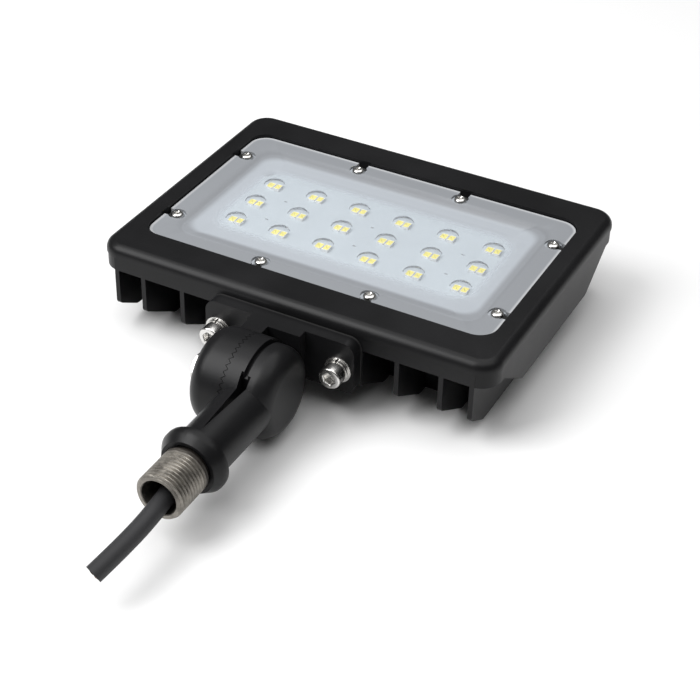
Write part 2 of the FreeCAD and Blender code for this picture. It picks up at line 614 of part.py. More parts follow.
def make_housing():
    """Bezel, rim, floor, driver compartment, fins and bracket boss in one casting."""
    band = rounded_block("bezel_band", HEAD, "rim_length", "rim_width", "rim_corner", "0", "band_depth")
    round_edges(band, lies_at("Z", "0"), "band_round")
    wall = rounded_block("rim_wall", HEAD, "rim_length - 2 * seam_step", "rim_width - 2 * seam_step",
                         "rim_corner - seam_step", "-band_depth", "rim_depth - band_depth")
    shell = block("box_shell", HEAD, "0", "box_length", "-box_front", "box_front + box_back",
                  "-fin_depth", "fin_depth - rim_depth + box_wall / 2")
    boss = block("bracket_boss", HEAD, "0", "boss_width", "-wall_front", "boss_length",
                 "-axis_below_face - boss_bottom", "axis_below_face + boss_bottom - band_depth")
    tunnel = rod("tunnel_wall_rod", HEAD, "y", ("tunnel_x", "-wall_front", "-axis_below_face"),
                 "wire_bore + tunnel_wall", "wall_front - box_front + box_wall / 2")
    casting = fuse("housing_casting", [band, wall, shell, boss, tunnel] + make_fins() + make_end_walls())

    room = block("box_room", HEAD, "0", "box_length - 2 * box_wall", "-box_front + box_wall",
                 "box_front + box_back - 2 * box_wall", "-box_low", "box_low - rim_depth")
    pillars = [rod(f"pillar_{index}", HEAD, "z", (x, y, "-box_low"), "pillar_radius", "box_low - rim_depth")
               for index, (x, y) in enumerate(BACK_SCREWS)]
    cuts = [cut("box_space", room, fuse("pillars", pillars))]
    cuts.append(block("back_rebate", HEAD, "0", "box_length - 2 * rebate_wall", "-box_front + rebate_wall",
                      "box_front + box_back - 2 * rebate_wall", "-fin_depth", "fin_depth - box_low"))
    cuts.append(rounded_block("window", HEAD, "window_length", "window_width", "window_corner",
                              "0", "ledge_depth"))
    cuts.append(rounded_block("cavity", HEAD, "cavity_length", "cavity_width", "cavity_corner",
                              "-ledge_depth", "floor_depth - ledge_depth"))
    for index, (x, y) in enumerate(COVER_SCREWS):
        cuts.append(rod(f"cover_hole_{index}", HEAD, "z", (x, y, "-ledge_depth - cover_screw_grip"),
                        "screw_radius", "cover_screw_grip"))
    for index, (x, y) in enumerate(BOARD_SCREWS):
        cuts.append(rod(f"board_hole_{index}", HEAD, "z", (x, y, "-floor_depth - board_screw_grip"),
                        "screw_radius", "board_screw_grip"))
    for index, (x, y) in enumerate(BACK_SCREWS):
        cuts.append(rod(f"back_hole_{index}", HEAD, "z", (x, y, "-box_low"),
                        "screw_radius", "back_screw_grip"))
    for side in (-1, 1):
        cuts.append(rod(f"bolt_hole_{side + 1}", HEAD, "y",
                        (f"{side} * bolt_x", "-wall_front", "-axis_below_face"),
                        "bolt_radius", "bolt_grip"))
        cuts.append(rod(f"driver_hole_{side + 1}", HEAD, "z", (driver_screw_x(side), "0", "-rim_depth"),
                        "screw_radius", "board_screw_grip"))
    cuts.append(rod("wire_tunnel", HEAD, "y", ("tunnel_x", "-wall_front", "-axis_below_face"),
                    "wire_bore", "wall_front - box_front + box_wall"))
    cuts.append(rod("lead_hole", HEAD, "z", ("lead_x", "0", "-rim_depth"),
                    "lead_bore", "rim_depth - floor_depth"))
    node("housing", cut("housing_cut", casting, fuse("housing_spaces", cuts)))


def driver_screw_x(side):
    """The place of a driver screw, in the middle of its tab."""
    return f"{side} * (driver_length / 2 + driver_tab / 2)"


def make_lens():
    """Clear cover with its dished middle, LED domes and screw notches, and the gasket below it."""
    length = "window_length - 2 * cover_gap"
    width = "window_width - 2 * cover_gap"
    corner = "window_corner - cover_gap"
    plate = rounded_block("cover_plate", HEAD, length, width, corner, "-cover_top", "cover_seat - cover_top")
    plug = rounded_block("cover_plug", HEAD, "cavity_length - 2 * plug_gap", "cavity_width - 2 * plug_gap",
                         "cavity_corner - plug_gap", "-cover_seat", "plug_drop")
    dish = loft("dish", HEAD, [
        ("dish_length", "dish_width", "cavity_corner", "-cover_top"),
        ("dish_length - 2 * dish_run", "dish_width - 2 * dish_run", "cavity_corner",
         "-cover_top - dish_drop"),
    ])
    domes = []
    for index, (x, y) in enumerate(led_pairs()):
        dome = doc.addObject("Part::Sphere", f"dome_{index}")
        bind(dome, Radius="(dome_radius ^ 2 + dome_height ^ 2) / (2 * dome_height)")
        place(dome, HEAD, (x, y, "-cover_top - dish_drop + dome_height - "
                           "(dome_radius ^ 2 + dome_height ^ 2) / (2 * dome_height)"))
        domes.append(dome)
    above = block("dome_space", HEAD, "0", length, f"-({width}) / 2", width,
                  "-cover_top - dish_drop", "dish_drop")
    caps = doc.addObject("Part::MultiCommon", "domes")
    caps.Shapes = [fuse("dome_balls", domes), above]
    dished = fuse("cover_with_domes", [cut("cover_dish", fuse("cover_blank", [plate, plug]), dish), caps])
    cuts = []
    for index, (x, y) in enumerate(COVER_SCREWS):
        cuts.append(rod(f"scallop_{index}", HEAD, "z", (x, y, "-cover_top - scallop_depth"),
                        "scallop_radius", "scallop_depth"))
        cuts.append(rod(f"cover_clear_{index}", HEAD, "z", (x, y, "-cover_seat"),
                        "screw_radius + screw_clearance", "cover_seat - cover_top"))
        cuts.append(make_notch(index, x, y))
    node("lens_cover", cut("lens_cut", dished, fuse("cover_cuts", cuts)))

    sheet_ring = rounded_block("gasket_sheet", HEAD, length, width, corner, "-cover_seat", "gasket_thickness")
    opening = rounded_block("gasket_opening", HEAD, "cavity_length", "cavity_width", "cavity_corner",
                            "-cover_seat", "gasket_thickness")
    holes = [rod(f"gasket_hole_{index}", HEAD, "z", (x, y, "-ledge_depth"),
                 "screw_radius + screw_clearance", "gasket_thickness")
             for index, (x, y) in enumerate(COVER_SCREWS)]
    node("lens_gasket", cut("gasket_cut", sheet_ring, fuse("gasket_holes", [opening] + holes)))

    seat = "-cover_top - scallop_depth"
    grip = "ledge_depth + cover_screw_grip - cover_top - scallop_depth"
    screws = [small_screw(f"cover_screw_{index}", HEAD, x, y, seat, grip)
              for index, (x, y) in enumerate(COVER_SCREWS)]
    node("cover_screws", group("cover_screw_group", screws))


def make_notch(index, x, y):
    """The notch from a cover screw out to the nearest edge of the cover."""
    low_z = "-cover_seat"
    height = "cover_seat - cover_top"
    on_short_side = index < 4
    outwards = 1 if number(x if on_short_side else y) > 0 else -1
    reach = "window_length / 2 - cover_screw_x" if on_short_side else "window_width / 2 - long_screw_y"
    run = f"{reach} - notch_start"
    start = "notch_start" if outwards > 0 else f"-({reach})"
    if on_short_side:
        return box(f"notch_{index}", HEAD, (f"{x} + {start}", f"{y} - notch_width / 2", low_z),
                   (run, "notch_width", height))
    return box(f"notch_{index}", HEAD, (f"{x} - notch_width / 2", f"{y} + {start}", low_z),
               ("notch_width", run, height))


def make_board():
    """LED board on its thermal pad, with its LEDs and screws."""
    cuts = [rod(f"board_clear_{index}", HEAD, "z", (x, y, "-floor_depth"), "screw_radius + screw_clearance",
                "pad_thickness + board_thickness") for index, (x, y) in enumerate(BOARD_SCREWS)]
    clear = fuse("board_holes", cuts)
    blank = rounded_block("board_blank", HEAD, "board_length", "board_width", "board_corner",
                          "-board_top", "board_thickness")
    node("led_board", cut("board_cut", blank, clear))
    pad_blank = rounded_block("pad_blank", HEAD, "board_length - 2 * pad_margin",
                              "board_width - 2 * pad_margin", "board_corner",
                              "-floor_depth + pad_thickness", "pad_thickness")
    lead_room = rod("pad_lead_hole", HEAD, "z", ("lead_x", "0", "-floor_depth"), "lead_bore", "pad_thickness")
    node("thermal_pad", cut("pad_cut", pad_blank, fuse("pad_holes", [clear, lead_room])))
    chips = []
    for index, (x, y) in enumerate(led_pairs()):
        for side in (-1, 1):
            chips.append(block(f"chip_{index}_{side + 1}", HEAD, f"{x} + {side} * chip_spacing / 2",
                               "chip_size", f"{y} - chip_size / 2", "chip_size", "-board_top", "chip_height"))
    node("led_chips", group("chip_group", chips))
    grip = "pad_thickness + board_thickness + board_screw_grip"
    screws = [small_screw(f"board_screw_{index}", HEAD, x, y, "-board_top", grip, "low_head_height")
              for index, (x, y) in enumerate(BOARD_SCREWS)]
    node("board_screws", group("board_screw_group", screws))


def make_driver():
    """Driver in its open case under the floor of the housing, with its board, parts and screws."""
    case = block("case_blank", HEAD, "0", "driver_length", "-driver_width / 2", "driver_width",
                 "-rim_depth - driver_height", "driver_height")
    tabs = block("case_tabs", HEAD, "0", "driver_length + 2 * driver_tab", "-driver_tab / 2", "driver_tab",
                 "-rim_depth - driver_wall", "driver_wall")
    parts_seat = "-rim_depth - driver_wall - post_height"
    posts = [rod(f"board_post_{index}", HEAD, "z", (x, y, parts_seat), "post_radius", "post_height")
             for index, (x, y) in enumerate(corners("post_x", "post_y"))]
    room = block("case_room", HEAD, "0", "driver_length - 2 * driver_wall",
                 "-driver_width / 2 + driver_wall", "driver_width - 2 * driver_wall",
                 "-rim_depth - driver_height", "driver_height - driver_wall")
    space = cut("case_space", room, fuse("board_posts", posts))
    entry = rod("case_entry", HEAD, "y", ("tunnel_x", "-driver_width / 2", "-axis_below_face"),
                "wire_bore", "driver_wall")
    lead_exit = rod("case_lead_exit", HEAD, "z", ("lead_x", "0", "-rim_depth - driver_wall"),
                    "lead_bore", "driver_wall")
    holes = [rod(f"case_hole_{side + 1}", HEAD, "z", (driver_screw_x(side), "0", "-rim_depth - driver_wall"),
                 "screw_radius + screw_clearance", "driver_wall") for side in (-1, 1)]
    node("driver_case", cut("case_cut", fuse("case_shell", [case, tabs]),
                            fuse("case_cuts", [space, entry, lead_exit] + holes)))
    screws = [small_screw(f"driver_screw_{side + 1}", HEAD, driver_screw_x(side), "0",
                          "-rim_depth - driver_wall", "driver_wall + board_screw_grip", upwards=False)
              for side in (-1, 1)]
    node("driver_screws", group("driver_screw_group", screws))
    board = block("driver_board_blank", HEAD, "0", "driver_length - 2 * driver_wall - 2 * driver_board_gap",
                  "-driver_width / 2 + driver_wall + driver_board_gap",
                  "driver_width - 2 * driver_wall - 2 * driver_board_gap",
                  f"{parts_seat} - board_thickness", "board_thickness")
    node("driver_board", board)
    parts = [
        block("terminal", HEAD, "tunnel_x", "terminal_width", "-terminal_y", "terminal_length",
              parts_seat, "terminal_height"),
        block("coil", HEAD, "coil_x", "coil_length", "-coil_width / 2", "coil_width",
              parts_seat, "coil_height"),
        rod("can_front", HEAD, "z", ("can_x", "-can_y", parts_seat), "can_radius", "can_height"),
        rod("can_back", HEAD, "z", ("can_x", "can_y", parts_seat), "can_radius", "can_height"),
        rod("choke", HEAD, "z", ("choke_x", "0", parts_seat), "choke_radius", "choke_height"),
    ]
    node("driver_components", group("driver_part_group", parts))
    leads = [rod(f"led_lead_{side + 1}", HEAD, "z", (f"lead_x + {side} * lead_spacing / 2", "0", parts_seat),
                 "lead_radius", "driver_wall + post_height + rim_depth - floor_depth + pad_thickness")
             for side in (-1, 1)]
    node("led_leads", group("led_lead_group", leads))


def three_cores(name, frame, start, length):
    """Three insulated cores side by side along Y."""
    cores = []
    for index in range(3):
        turn = f"cos({index * 120}) * core_ring"
        lift = f"sin({index * 120}) * core_ring"
        middle = (f"{start[0]} + {turn}", start[1], f"{start[2]} + {lift}")
        cores.append(rod(f"{name}_{index}", frame, "y", middle, "core_radius", length))
    return node(name, group(name + "_group", cores))


def make_back():
    """Sunk cover of the driver compartment, with its gasket and screws."""
    length = "box_length - 2 * rebate_wall - 2 * back_gap"
    low_y = "-box_front + rebate_wall + back_gap"
    width = "box_front + box_back - 2 * rebate_wall - 2 * back_gap"
    holes = fuse("back_cover_holes", [
        rod(f"back_clear_{index}", HEAD, "z", (x, y, "-back_low"), "screw_radius + screw_clearance",
            "back_thickness + gasket_thickness") for index, (x, y) in enumerate(BACK_SCREWS)])
    plate = block("back_plate", HEAD, "0", length, low_y, width, "-back_low", "back_thickness")
    node("back_cover", cut("back_cut", plate, holes))
    gasket = block("back_gasket_sheet", HEAD, "0", length, low_y, width, "back_thickness - back_low",
                   "gasket_thickness")
    inset = "pillar_inset + pillar_radius"
    opening = block("back_gasket_opening", HEAD, "0", f"box_length - 2 * ({inset})", f"-box_front + {inset}",
                    f"box_front + box_back - 2 * ({inset})", "back_thickness - back_low", "gasket_thickness")
    node("back_gasket", cut("back_gasket_cut", gasket, fuse("back_gasket_cuts", [holes, opening])))
    grip = "back_thickness + gasket_thickness + back_screw_grip"
    screws = [small_screw(f"back_screw_{index}", HEAD, x, y, "-back_low", grip, upwards=False)
              for index, (x, y) in enumerate(BACK_SCREWS)]
    node("back_screws", group("back_screw_group", screws))


def toothed_ring(name, face, towards, phase):
    """A ring of radial teeth on a face of the knuckle; their flanks all meet on the pivot axis."""
    count = int(number("tooth_count"))
    outer = number("ear_radius")
    inner = number("tooth_inner")
    height = number("tooth_height")
    middle = FreeCAD.Vector(number(face), number("pivot_y"), 0)
    root = -towards * height / 2

    def spoke(index, radius, rise):
        angle = (index + phase) * math.pi / count
        return middle + FreeCAD.Vector(rise, radius * math.cos(angle), radius * math.sin(angle))

    def crest(index, radius):
        rise = towards * height * radius / outer if index % 2 else 0
        return spoke(index, radius, rise)

    def face_of(*points):
        return Part.Face(Part.makePolygon(list(points) + [points[0]]))

    faces = []
    steps = range(2 * count)
    for index in steps:
        after = index + 1
        faces.append(face_of(crest(index, inner), crest(index, outer),
                             crest(after, outer), crest(after, inner)))
        for radius in (inner, outer):
            faces.append(face_of(crest(index, radius), crest(after, radius),
                                 spoke(after, radius, root), spoke(index, radius, root)))
    rims = [Part.makePolygon([spoke(index, radius, root) for index in range(2 * count + 1)])
            for radius in (outer, inner)]
    faces.append(Part.makeFace(rims, "Part::FaceMakerBullseye"))
    shell = Part.makeShell(faces)
    shell.sewShape()
    solid = Part.makeSolid(shell)
    item = doc.addObject("Part::Feature", name)
    item.Shape = solid if solid.Volume > 0 else solid.reversed()
    item.Placement = FreeCAD.Placement()
    return item


def plate_blank(name, low_y, thickness):
    """A flat piece with the bracket plate's outline."""
    frame = ("head_x", f"pivot_y + {low_y}", "0")
    points = [("-plate_width / 2", "-boss_bottom"), ("plate_width / 2", "-boss_bottom"),
              ("plate_width / 2", "plate_top"), ("-plate_width / 2", "plate_top")]
    body = outline_block(name, frame, "XZ_Plane", points, thickness, towards_normal=False)

    def upright_at(level):
        def test(edge):
            bounds = edge.BoundBox
            flat = bounds.XLength < 1e-4 and bounds.ZLength < 1e-4
            return flat and abs(bounds.ZMin - number(level)) < 1e-4
        return test

    round_edges(body, upright_at("plate_top"), "plate_top_round")
    round_edges(body, upright_at("-boss_bottom"), "plate_low_round")
    return body


def make_bracket():
    """Plate, neck and toothed ear in one casting, with its gasket."""
    plate = plate_blank("bracket_plate", "plate_front", "plate_thickness")
    height = "plate_top + boss_bottom"
    middle = block("bracket_middle", PIVOT, "head_x", "middle_width", "middle_front",
                   "middle_thickness + plate_thickness / 2", "-boss_bottom", height)
    neck = box("bracket_neck", PIVOT, ("head_x - neck_inset - neck_width", "neck_start", "-boss_bottom"),
               ("neck_width", "plate_back - neck_start", height))
    ear = turned("bracket_ear", PIVOT, [("ear_outside", "0"), ("ear_outside", "ear_radius"),
                                        ("ear_face", "ear_radius"), ("ear_face", "0")], "H_Axis")
    round_edges(ear, lies_at("X", "ear_outside"), "ear_round")
    teeth = toothed_ring("ear_teeth", "ear_face", 1, 0)
    bolts = bolt_places()
    cuts = [
        rod("ear_bore", PIVOT, "x", ("ear_outside", "0", "0"),
            "pivot_radius + pivot_clearance", "ear_thickness"),
        ring("ear_wire_room", PIVOT, "x", ("ear_face - ear_wire_depth", "0", "0"), "wire_room_radius",
             "hub_radius", "ear_wire_depth"),
        rod("bracket_wire_bore", PIVOT, "y", ("tunnel_middle", "wire_room_entry", "0"), "wire_bore",
            "plate_back - wire_room_entry"),
    ]
    cuts += [rod(f"plate_hole_{index}", PIVOT, "y", (x, "plate_front", "0"), "bolt_radius + bolt_clearance",
                 "plate_thickness") for index, x in enumerate(bolts)]
    bare = cut("bracket_cut", fuse("bracket_body", [plate, middle, neck, ear]), fuse("bracket_cuts", cuts))
    node("knuckle_bracket", fuse("bracket_casting", [bare, teeth]))
    gasket_holes = [rod(f"seal_hole_{index}", PIVOT, "y", (x, "plate_back", "0"),
                        "bolt_radius + bolt_clearance", "gasket_thickness") for index, x in enumerate(bolts)]
    gasket_holes.append(rod("seal_wire_hole", PIVOT, "y", ("tunnel_middle", "plate_back", "0"), "wire_bore",
                            "gasket_thickness"))
    blank = plate_blank("bracket_gasket_sheet", "plate_back", "gasket_thickness")
    node("bracket_gasket", cut("bracket_gasket_cut", blank, fuse("bracket_gasket_cuts", gasket_holes)))


def bolt_places():
    """The two bracket bolts along X."""
    return [f"head_x + {side} * bolt_x" for side in (-1, 1)]


def hexagon(name, frame, axis, start, flats, depth):
    """A six-sided block along an axis."""
    item = doc.addObject("Part::Prism", name)
    bind(item, Circumradius=f"({flats}) / sqrt(3)", Height=depth)
    place(item, frame, start, TURN_TO[axis])
    return item


def make_bracket_bolts():
    """The two socket head bolts, each on a spring washer and a flat washer."""
    flat_front = "plate_front - flat_washer_thickness"
    spring_front = f"{flat_front} - spring_washer_thickness"
    head_front = f"{spring_front} - bolt_head_height"
    shank = "spring_washer_thickness + flat_washer_thickness + plate_thickness + gasket_thickness + bolt_grip"
    hole = "bolt_radius + bolt_clearance"
    bolts = []
    springs = []
    flats = []
    for index, x in enumerate(bolt_places()):
        head = rod(f"bolt_head_{index}", PIVOT, "y", (x, head_front, "0"),
                   "bolt_head_radius", "bolt_head_height")
        thread = rod(f"bolt_shank_{index}", PIVOT, "y", (x, spring_front, "0"), "bolt_radius", shank)
        socket = hexagon(f"bolt_socket_{index}", PIVOT, "y", (x, head_front, "0"), "hex_key", "hex_depth")
        bolts.append(cut(f"bolt_{index}", fuse(f"bolt_blank_{index}", [head, thread]), socket))
        coil = ring(f"spring_ring_{index}", PIVOT, "y", (x, spring_front, "0"), "spring_washer_radius", hole,
                    "spring_washer_thickness")
        split = block(f"spring_split_{index}", PIVOT, x, "spring_washer_split", spring_front,
                      "spring_washer_thickness", "0", "spring_washer_radius")
        springs.append(cut(f"spring_{index}", coil, split))
        flats.append(ring(f"flat_{index}", PIVOT, "y", (x, flat_front, "0"), "flat_washer_radius", hole,
                          "flat_washer_thickness"))
    node("bracket_bolts", group("bolt_group", bolts))
    node("spring_washers", group("spring_group", springs))
    node("flat_washers", group("flat_group", flats))


def make_arm():
    """Toothed cheek, dome, tube and collar in one casting, with the knuckle's seal."""
    waist = "ear_radius - groove_depth"
    profile = [
        ("arm_face", "0"),
        ("arm_face", "ear_radius"),
        ("groove_start", "ear_radius"),
        ("groove_start", waist),
        ("groove_start + groove_width", waist),
        ("groove_start + groove_width", "dome_outer"),
        ("dome_reach", "dome_outer"),
        ("dome_reach", "0"),
    ]
    dome = turned("arm_dome", PIVOT, profile, "H_Axis")
    round_edges(dome, lies_at("X", "dome_reach"), "dome_round")
    teeth = toothed_ring("arm_teeth", "arm_face", -1, 1)
    tube = rod("arm_tube", NIPPLE, "y", ("0", "collar_flare", "0"), "tube_radius",
               "pivot_y - collar_flare - bore_stop")
    ear_room = rod("ear_room_disc", PIVOT, "x", ("ear_outside", "0", "0"), "ear_radius + ear_room",
                   "arm_face - ear_outside")
    collar = turned("arm_collar", NIPPLE, [
        ("0", "0"),
        ("collar_seat_radius", "0"),
        ("collar_radius", "collar_flare"),
        ("collar_radius", "collar_flare + collar_edge"),
        ("tube_radius", "collar_length"),
        ("0", "collar_length"),
    ], "V_Axis")
    slot = outline_block("arm_slot", ("0", "0", "slot_floor"), "XY_Plane", [
        ("0", "slot_end"),
        ("slot_width / 2", "slot_end + slot_length"),
        ("-slot_width / 2", "slot_end + slot_length"),
    ], "dome_outer")
    cuts = [
        slot,
        rod("thread_relief", NIPPLE, "y", ("0", "0", "0"), "nipple_radius + relief_gap", "relief_depth"),
        rod("spigot_socket", NIPPLE, "y", ("0", "0", "0"), "spigot_radius", "spigot_length"),
        rod("tube_bore_rod", NIPPLE, "y", ("0", "spigot_length", "0"), "tube_bore",
            "pivot_y - bore_stop - spigot_length"),
        rod("pivot_hole", PIVOT, "x", ("arm_face", "0", "0"), "pivot_radius", "pivot_grip"),
        ring("arm_wire_room", PIVOT, "x", ("arm_face", "0", "0"), "wire_room_radius", "hub_radius",
             "arm_wire_depth"),
        ring("seal_groove", PIVOT, "x", ("arm_face", "0", "0"), "seal_outer", "seal_inner", "seal_seat"),
    ]
    body = fuse("arm_body", [dome, cut("arm_tube_end", fuse("tube_and_collar", [tube, collar]), ear_room)])
    node("knuckle_arm", fuse("arm_casting", [cut("arm_cut", body, fuse("arm_cuts", cuts)), teeth]))
    node("knuckle_seal", ring("seal_ring", PIVOT, "x", ("ear_face + seal_gap", "0", "0"), "seal_outer",
                              "seal_inner", "tooth_height + tooth_gap - seal_gap + seal_seat"))


def make_pivot_bolt():
    """The hexagon bolt on which the head swings, and its washer."""
    head = hexagon("pivot_head", PIVOT, "x", ("washer_outside - pivot_head_height", "0", "0"),
                   "pivot_head_flats", "pivot_head_height")
    shank = rod("pivot_shank", PIVOT, "x", ("washer_outside", "0", "0"), "pivot_radius",
                "arm_face + pivot_grip - washer_outside")
    node("pivot_bolt", fuse("pivot_bolt_body", [head, shank]))
    node("pivot_washer", ring("pivot_ring", PIVOT, "x", ("washer_outside", "0", "0"), "pivot_washer_radius",
                              "pivot_radius + pivot_washer_clearance", "pivot_washer_thickness"))


def make_nipple():
    """Threaded nipple with its spigot, and the grommet that grips the cord behind it."""
    node("nipple", turned("nipple_body", NIPPLE, [
        ("nipple_bore", "-nipple_reach"),
        ("nipple_radius - nipple_chamfer", "-nipple_reach"),
        ("nipple_radius", "-nipple_reach + nipple_chamfer"),
        ("nipple_radius", "0"),
        ("spigot_radius", "0"),
        ("spigot_radius", "spigot_length"),
        ("nipple_bore", "spigot_length"),
    ], "V_Axis"))
    node("cord_grommet", ring("grommet_ring", NIPPLE, "y", ("0", "spigot_length", "0"),
                              "tube_bore", "cord_radius", "grommet_length"))
    node("cord_inner", rod("cord_inner_rod", NIPPLE, "y", ("0", "spigot_length", "0"), "cord_radius",
                           "grommet_length + cord_tail"))


def make_cord():
    """Free cord from the grommet to its cut end: straight runs joined by tangent arcs."""
    start = FreeCAD.Vector(0, number("spigot_length"), 0)
    points = [start] + [FreeCAD.Vector(*point) for point in CORD_ROUTE]
    runs = [(after - before).Length for before, after in zip(points, points[1:])]
    edges = []
    last = points[0]
    for index in range(1, len(points) - 1):
        back = (points[index - 1] - points[index]).normalize()
        ahead = (points[index + 1] - points[index]).normalize()
        half_turn = (math.pi - back.getAngle(ahead)) / 2
        reach = ARC_SHARE * min(runs[index - 1], runs[index])
        radius = reach / math.tan(half_turn)
        bisector = (back + ahead).normalize()
        middle = points[index] + bisector * (radius / math.cos(half_turn) - radius)
        enter = points[index] + back * reach
        leave = points[index] + ahead * reach
        edges.append(Part.LineSegment(last, enter).toShape())
        edges.append(Part.Arc(enter, middle, leave).toShape())
        last = leave
        print(f"cord bend {index}: radius {radius:.1f} mm")
    edges.append(Part.LineSegment(last, points[-1]).toShape())
    path = Part.Wire(edges)
    radius = number("cord_radius")
    section = Part.Wire(Part.makeCircle(radius, points[0], points[1] - points[0]))
    item = doc.addObject("Part::Feature", "cord_tube")
    item.Shape = path.makePipeShell([section], True, True)
    item.Placement = FreeCAD.Placement()
    expected = math.pi * radius ** 2 * path.Length
    print(f"cord: length {path.Length:.1f} mm, volume {item.Shape.Volume:.0f} of {expected:.0f} mm3")
    node("cord", item)


def export_parts():
    """Write every piece to its own file once the whole document is sound."""
    doc.recompute()
    for item in doc.Objects:
        if "Invalid" in item.State or "Error" in item.State:
            raise RuntimeError(f"{item.Label}: {item.State}")
    os.makedirs("parts", exist_ok=True)
    for item in nodes:
        if item.Shape.isNull() or not item.Shape.isValid() or not item.Shape.Solids:
            raise RuntimeError(f"{item.Label}: unsound shape")
        item.Shape.exportStep(f"parts/{item.Label}.step")


fill_sheet()
make_housing()
make_lens()
make_board()
make_driver()
make_back()
make_bracket()
make_bracket_bolts()
make_arm()
make_pivot_bolt()
make_nipple()
make_cord()
three_cores("cord_cores", NIPPLE, ("0", "spigot_length + grommet_length + cord_tail", "0"), "core_reach")
three_cores("supply_wires", PIVOT, ("tunnel_middle", "wire_room_entry", "0"),
            "pivot_to_head + wall_front - terminal_y - wire_room_entry")
export_parts()
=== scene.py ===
"""Looks of the LED flood light: its black coat, clear cover, LEDs, fasteners, pipe thread and cord."""

import math
from contextlib import contextmanager

import bmesh
import bpy
from bpy.props import FloatProperty, FloatVectorProperty, IntProperty, PointerProperty
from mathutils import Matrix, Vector


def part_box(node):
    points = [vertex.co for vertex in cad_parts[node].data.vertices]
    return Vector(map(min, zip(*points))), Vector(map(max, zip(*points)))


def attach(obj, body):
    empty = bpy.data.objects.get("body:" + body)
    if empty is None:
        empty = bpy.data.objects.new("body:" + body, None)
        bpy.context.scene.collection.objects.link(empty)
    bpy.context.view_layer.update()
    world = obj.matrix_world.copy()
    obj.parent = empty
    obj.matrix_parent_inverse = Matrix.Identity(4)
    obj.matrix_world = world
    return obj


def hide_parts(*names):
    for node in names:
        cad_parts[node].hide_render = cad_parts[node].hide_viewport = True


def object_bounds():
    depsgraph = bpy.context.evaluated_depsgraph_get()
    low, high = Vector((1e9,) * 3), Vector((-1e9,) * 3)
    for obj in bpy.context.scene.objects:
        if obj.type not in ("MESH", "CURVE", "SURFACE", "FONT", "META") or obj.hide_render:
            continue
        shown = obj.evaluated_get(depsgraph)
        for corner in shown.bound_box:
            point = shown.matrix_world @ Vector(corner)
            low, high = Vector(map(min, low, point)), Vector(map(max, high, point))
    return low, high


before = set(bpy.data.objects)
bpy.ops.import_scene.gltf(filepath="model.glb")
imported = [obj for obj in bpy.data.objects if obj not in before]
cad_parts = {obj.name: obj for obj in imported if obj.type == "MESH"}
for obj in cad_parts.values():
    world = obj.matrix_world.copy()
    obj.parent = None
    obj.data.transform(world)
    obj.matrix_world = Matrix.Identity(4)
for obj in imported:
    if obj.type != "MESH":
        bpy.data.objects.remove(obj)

bl_info = {
    "name": "LED flood light",
    "version": (1, 0, 0),
    "blender": (4, 5, 0),
    "location": "View3D > Sidebar > Flood light",
    "description": "Dresses the flood light with its castings, clear cover, LEDs, fasteners and cord",
    "category": "Object",
}

CAD_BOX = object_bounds()
MM = 0.001
WELD = 0.002 * MM
UP = Vector((0, 0, 1))
DOWN = Vector((0, 0, -1))
FORWARD = Vector((0, -1, 0))
LEFT = Vector((-1, 0, 0))

# The middle of the lit face
HOUSING_LOW, HOUSING_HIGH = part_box("housing")
FACE = (HOUSING_LOW + HOUSING_HIGH) / 2
FACE.z = HOUSING_HIGH.z

# Where the cover's slope and flange start and end, in millimetres above the floor of its dish
SLOPE_RISES = (0.1, 0.8)
FLANGE_RISES = (1.1, 1.6)


class Wire:
    """A socket of a shader tree: arithmetic on it adds Math nodes, add() adds any other node."""

    def __init__(self, tree, socket=None):
        self.tree = tree
        self.socket = socket

    def add(self, kind, settings=None, sockets=None, out=0):
        """Add a node: its settings first, then its sockets' values or links."""
        node = self.tree.nodes.new(kind)
        for name, value in (settings or {}).items():
            setattr(node, name, value)
        for name, value in (sockets or {}).items():
            if isinstance(value, Wire):
                self.tree.links.new(value.socket, node.inputs[name])
            else:
                node.inputs[name].default_value = value
        return Wire(self.tree, node.outputs[out] if node.outputs else None)

    def math(self, operation, *values):
        return self.add("ShaderNodeMath", {"operation": operation}, dict(enumerate(values)))

    def __add__(self, other):
        return self.math("ADD", self, other)

    def __radd__(self, other):
        return self.math("ADD", other, self)

    def __sub__(self, other):
        return self.math("SUBTRACT", self, other)

    def __rsub__(self, other):
        return self.math("SUBTRACT", other, self)

    def __mul__(self, other):
        return self.math("MULTIPLY", self, other)

    def __rmul__(self, other):
        return self.math("MULTIPLY", other, self)

    def __abs__(self):
        return self.math("ABSOLUTE", self)

    def over(self, least):
        """The value, or the least one where that is more."""
        return self.math("MAXIMUM", self, least)

    def root(self):
        return self.math("SQRT", self)

    def fade(self, start, end):
        """0 at the start value, 1 at the end value, smooth in between."""
        settings = {"interpolation_type": "SMOOTHSTEP"}
        sockets = {"Value": self, "From Min": start, "From Max": end}
        return self.add("ShaderNodeMapRange", settings, sockets)

    def mix(self, colour, other):
        """A colour where this value is 0, the other where it is 1."""
        sockets = {0: self, 6: rgba(colour), 7: rgba(other)}
        return self.add("ShaderNodeMix", {"data_type": "RGBA"}, sockets, 2)

    def axis(self, name):
        return self.add("ShaderNodeSeparateXYZ", None, {"Vector": self}, name)

    def stretch(self, scale):
        return self.add("ShaderNodeMapping", None, {"Vector": self, "Scale": scale})

    def noise(self, scale, detail=2.0, roughness=0.5):
        sockets = {"Vector": self, "Scale": scale, "Detail": detail, "Roughness": roughness}
        return self.add("ShaderNodeTexNoise", None, sockets)

    def bump(self, distance, strength=1.0):
        sockets = {"Height": self, "Distance": distance, "Strength": strength}
        return self.add("ShaderNodeBump", None, sockets)

    def shader(self, **sockets):
        named = {name.replace("_", " "): value for name, value in sockets.items()}
        return self.add("ShaderNodeBsdfPrincipled", None, named)

    def finish(self):
        self.add("ShaderNodeOutputMaterial", None, {"Surface": self})


